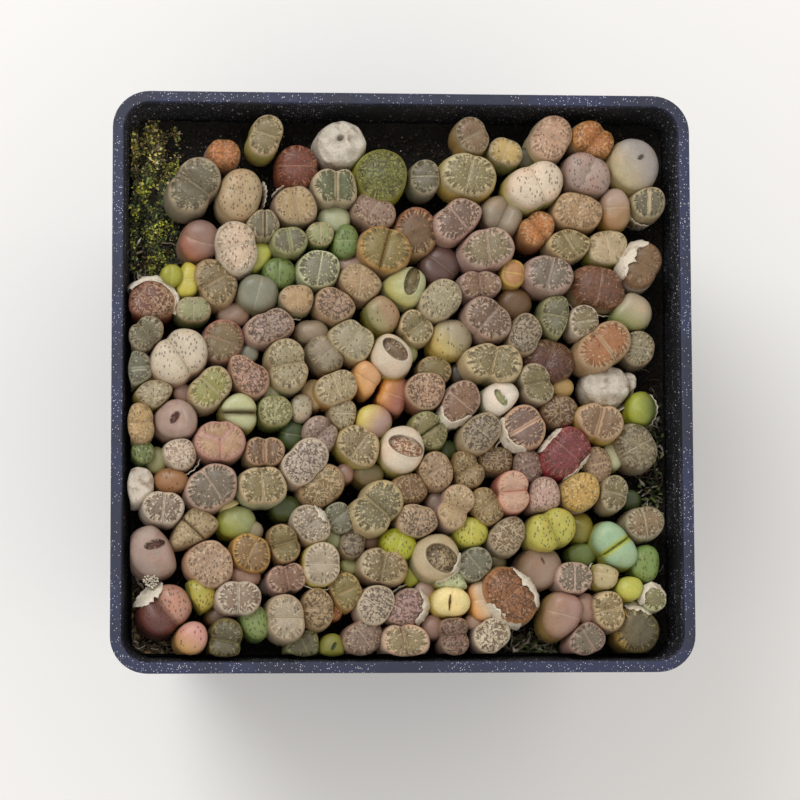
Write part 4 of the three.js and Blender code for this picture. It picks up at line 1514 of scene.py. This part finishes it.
def moss_leaves(heads, material):
    rng = random.Random(41)
    low, high = moss_bounds()
    edge = RIM_SIDE / 2 - RIM_WIDTH - MOSS_MARGIN
    parts, tints = [], []
    while len(parts) < MOSS_LEAVES:
        x = rng.uniform(-edge, high.x + 2)
        y = rng.uniform(low.y - 3, high.y + 1)
        tuft = at(ripples, x, y, 2.2, 43)
        thinning = ((x + edge) / (high.x + 2 + edge)) ** 3
        if tuft < rng.uniform(-1, 0.5) or rng.random() < thinning:
            continue
        if abs(y) > edge or not clear_of(heads, x, y):
            continue
        level = max(at(moss_height, x, y, low, high), at(crust_height, x, y))
        size = rng.uniform(0.3, 0.75) * (1 + 0.5 * max(tuft, 0))
        climb = rng.uniform(0, 5) if x < MOSS_CLIMB_TO else 0.5 * max(tuft, 0)
        parts.append(leaflet(rng, (x, y, level + climb), size, rng.uniform(0.5, 1.3)))
        tints.append(moss_tint_and_light(rng, x, y, low, high))
    return tinted_piece("moss_leaves", parts, tints, material)


def wandering_route(rng, start, heading, length, sag):
    """A thin root's route over the soil."""
    x, y = (min(max(value, -LITTER_REACH), LITTER_REACH) for value in start)
    steps = 12
    route = []
    for step in range(steps + 1):
        arch = math.sin(math.pi * step / steps) * sag
        route.append((x, y, at(crust_height, x, y) + 0.25 + arch))
        heading += rng.uniform(-0.45, 0.45)
        x += math.cos(heading) * length / steps
        y += math.sin(heading) * length / steps
        x = min(max(x, -LITTER_REACH), LITTER_REACH)
        y = min(max(y, -LITTER_REACH), LITTER_REACH)
    return route


def fibres_piece(material):
    """Pale dead roots and bark threads on the bare soil, as x, y, spread and count of each nest."""
    rng = random.Random(51)
    nests = (
        (-50, 24, 4, 16),
        (-46, -47, 7, 34),
        (25, -50, 4, 22),
        (48.5, 0, 4, 12),
        (46, -20, 3, 8),
        (48, -34, 3, 8),
    )
    shades = ("tan", "cream", "brown", "white", "umber")
    parts, tints = [], []
    for x, y, spread, count in nests:
        for _ in range(count):
            start = (x + rng.uniform(-spread, spread), y + rng.uniform(-spread, spread))
            heading = rng.uniform(0, math.tau)
            route = wandering_route(rng, start, heading, rng.uniform(3, 9), rng.uniform(0, 1.6))
            thickness = rng.uniform(0.05, 0.13)
            radii = [thickness * (1 - 0.6 * step / len(route)) for step in range(len(route))]
            parts.append(tube(route, radii))
            tints.append(linear(rng.choice(shades)) * rng.uniform(0.4, 0.9))
    return tinted_piece("root_fibres", parts, tints, material)


def bark_piece(heads, material):
    """Bark chips and debris where the soil lies bare: x, y, half lengths, count and shades of each patch."""
    rng = random.Random(61)
    woody = ("umber", "charcoal", "brown", "tan", "grey", "ash", "white")
    mossy = ("sage", "ash", "white", "green", "slate", "bottle")
    patches = (
        (-46, -48, 7, 5, 420, woody),
        (-51, -40, 1.8, 11, 130, woody),
        (27, -50, 6, 2.4, 190, mossy),
        (48.5, -14, 2.2, 10, 110, mossy),
        (-51, 22, 1.8, 6, 60, woody),
    )
    parts, tints = [], []
    for x, y, half_x, half_y, count, shades in patches:
        for _ in range(count):
            start = (x + rng.uniform(-half_x, half_x), y + rng.uniform(-half_y, half_y))
            route = wandering_route(rng, start, rng.uniform(0, math.tau), rng.uniform(0.8, 3), 0)
            lift, tilt = rng.uniform(0, 1.3), rng.uniform(-0.2, 0.5)
            thickness = rng.uniform(0.14, 0.4)
            tint = linear(rng.choice(shades)) * rng.uniform(0.35, 1.3)
            if clear_of(heads, *start):
                route = [(px, py, pz + lift + tilt * step) for step, (px, py, pz) in enumerate(route[::6])]
                parts.append(tube(route, [thickness * 0.8, thickness, thickness * 0.4]))
                tints.append(tint)
    return tinted_piece("bark_chips", parts, tints, material)


def lichen_piece(material):
    """A white, branching tuft between two heads near the corner towards -X -Y."""
    rng = random.Random(71)
    crown = Vector(LICHEN)
    parts, tints = [], []
    for _ in range(LICHEN_BRANCHES):
        out = cmath.rect(rng.uniform(0.1, 1.6), rng.uniform(0, math.tau))
        foot = crown + Vector((out.real * 0.3, out.imag * 0.3, -6))
        tip = crown + Vector((out.real, out.imag, rng.uniform(-0.5, 0.5)))
        parts.append(tube([foot, foot.lerp(tip, 0.6), tip], [0.1, 0.13, 0.2]))
        tints.append(linear("white") * rng.uniform(0.6, 1))
    return tinted_piece("lichen_tuft", parts, tints, material)


# Studio


def floor_piece():
    s = Shader("floor")
    shade = s.noise(s.position(), 0.01, 2.0)
    colour = s.mix(s.times(shade, 0.2), (0.9, 0.9, 0.9, 1), (0.86, 0.86, 0.87, 1))
    material = s.finish(Base_Color=colour, Roughness=0.8)
    mesh = bpy.data.meshes.new("floor")
    corners = [(x * FLOOR_HALF, y * FLOOR_HALF) for x, y in ((-1, -1), (1, -1), (1, 1), (-1, 1))]
    mesh.from_pydata([(x, y, 0) for x, y in corners], [], [(0, 1, 2, 3)])
    mesh.materials.append(material)
    placed("floor", mesh)


def key_light():
    """A soft lamp above the pot, which casts the photo's shadows towards +X -Y."""
    data = bpy.data.lights.new("key", "AREA")
    data.shape = "DISK"
    data.size = KEY_SIZE
    data.energy = KEY_POWER
    lamp = placed("key", data)
    turn = (Vector(KEY_TARGET) - Vector(KEY_PLACE)).to_track_quat("-Z", "Y")
    lamp.matrix_world = turn.to_matrix().to_4x4()
    lamp.location = KEY_PLACE


def studio():
    """Plain, soft and slightly warm light from all round, and one lamp."""
    world = bpy.data.worlds.new("studio")
    world.use_nodes = True
    world.node_tree.nodes["Background"].inputs["Color"].default_value = WORLD_COLOUR
    world.node_tree.nodes["Background"].inputs["Strength"].default_value = WORLD_STRENGTH
    scene = bpy.context.scene
    scene.world = world
    scene.view_settings.view_transform = "Standard"
    key_light()


def camera():
    """Looks down into the pot from the -X -Y side, a few degrees off the vertical."""
    data = bpy.data.cameras.new("camera")
    data.lens = CAMERA_LENS
    data.sensor_width = 36
    thing = placed("camera", data)
    aim = Vector((*CAMERA_AIM, POT_HEIGHT)) * MM
    lean = Vector((-math.tan(math.radians(CAMERA_LEAN[0])), -math.tan(math.radians(CAMERA_LEAN[1])), 1))
    back = lean.normalized()
    place = aim + back * CAMERA_DISTANCE * MM
    right = Vector((0, 1, 0)).cross(back).normalized()
    up = back.cross(right)
    turn = math.radians(CAMERA_ROLL)
    rolled_right = right * math.cos(turn) + up * math.sin(turn)
    rolled_up = up * math.cos(turn) - right * math.sin(turn)
    for column, axis in enumerate((rolled_right, rolled_up, back, place)):
        for row in range(3):
            thing.matrix_world[row][column] = axis[row]
    bpy.context.scene.camera = thing


def main():
    materials = {"lithops": lithops_material(), "paper": paper_material()}
    clumps = {clump: heads_of(f"lithops_clump_{clump:02d}") for clump in LOOKS}
    heads = [head for group in clumps.values() for head in group]
    for head in heads:
        for other in heads:
            if other is not head:
                head.press(other)
        head.press_on_walls()
    for clump, group in clumps.items():
        node = f"lithops_clump_{clump:02d}"
        for number, (head, looks) in enumerate(zip(group, LOOKS[clump], strict=True), 1):
            name = f"lithops_head_{clump:02d}_{number}"
            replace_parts(head_piece(name, head, looks, materials), node)
    for number, (clump, index, *shape) in enumerate(SKINS, 1):
        skin_piece(f"dry_skin_{number:02d}", clumps[clump][index], *shape, materials["paper"])

    pot_piece(plastic_material())
    soil = earth_material("potting_soil", ("charcoal", "umber", "charcoal", "slate"), 0.9, 0.5, 0.3)
    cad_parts["soil"].data.materials.clear()
    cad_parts["soil"].data.materials.append(soil)
    crust_piece(soil)
    grit_piece(heads, tinted_material("grit", 0.8))
    moss_mat(earth_material("moss_mat", ("bottle", "charcoal", "moss", "umber"), 0.7, 0.4))
    moss_leaves(heads, tinted_material("moss_leaves", 0.7))
    litter = tinted_material("litter", 0.75)
    fibres_piece(litter)
    bark_piece(heads, litter)
    lichen_piece(litter)
    floor_piece()
    studio()
    camera()


main()
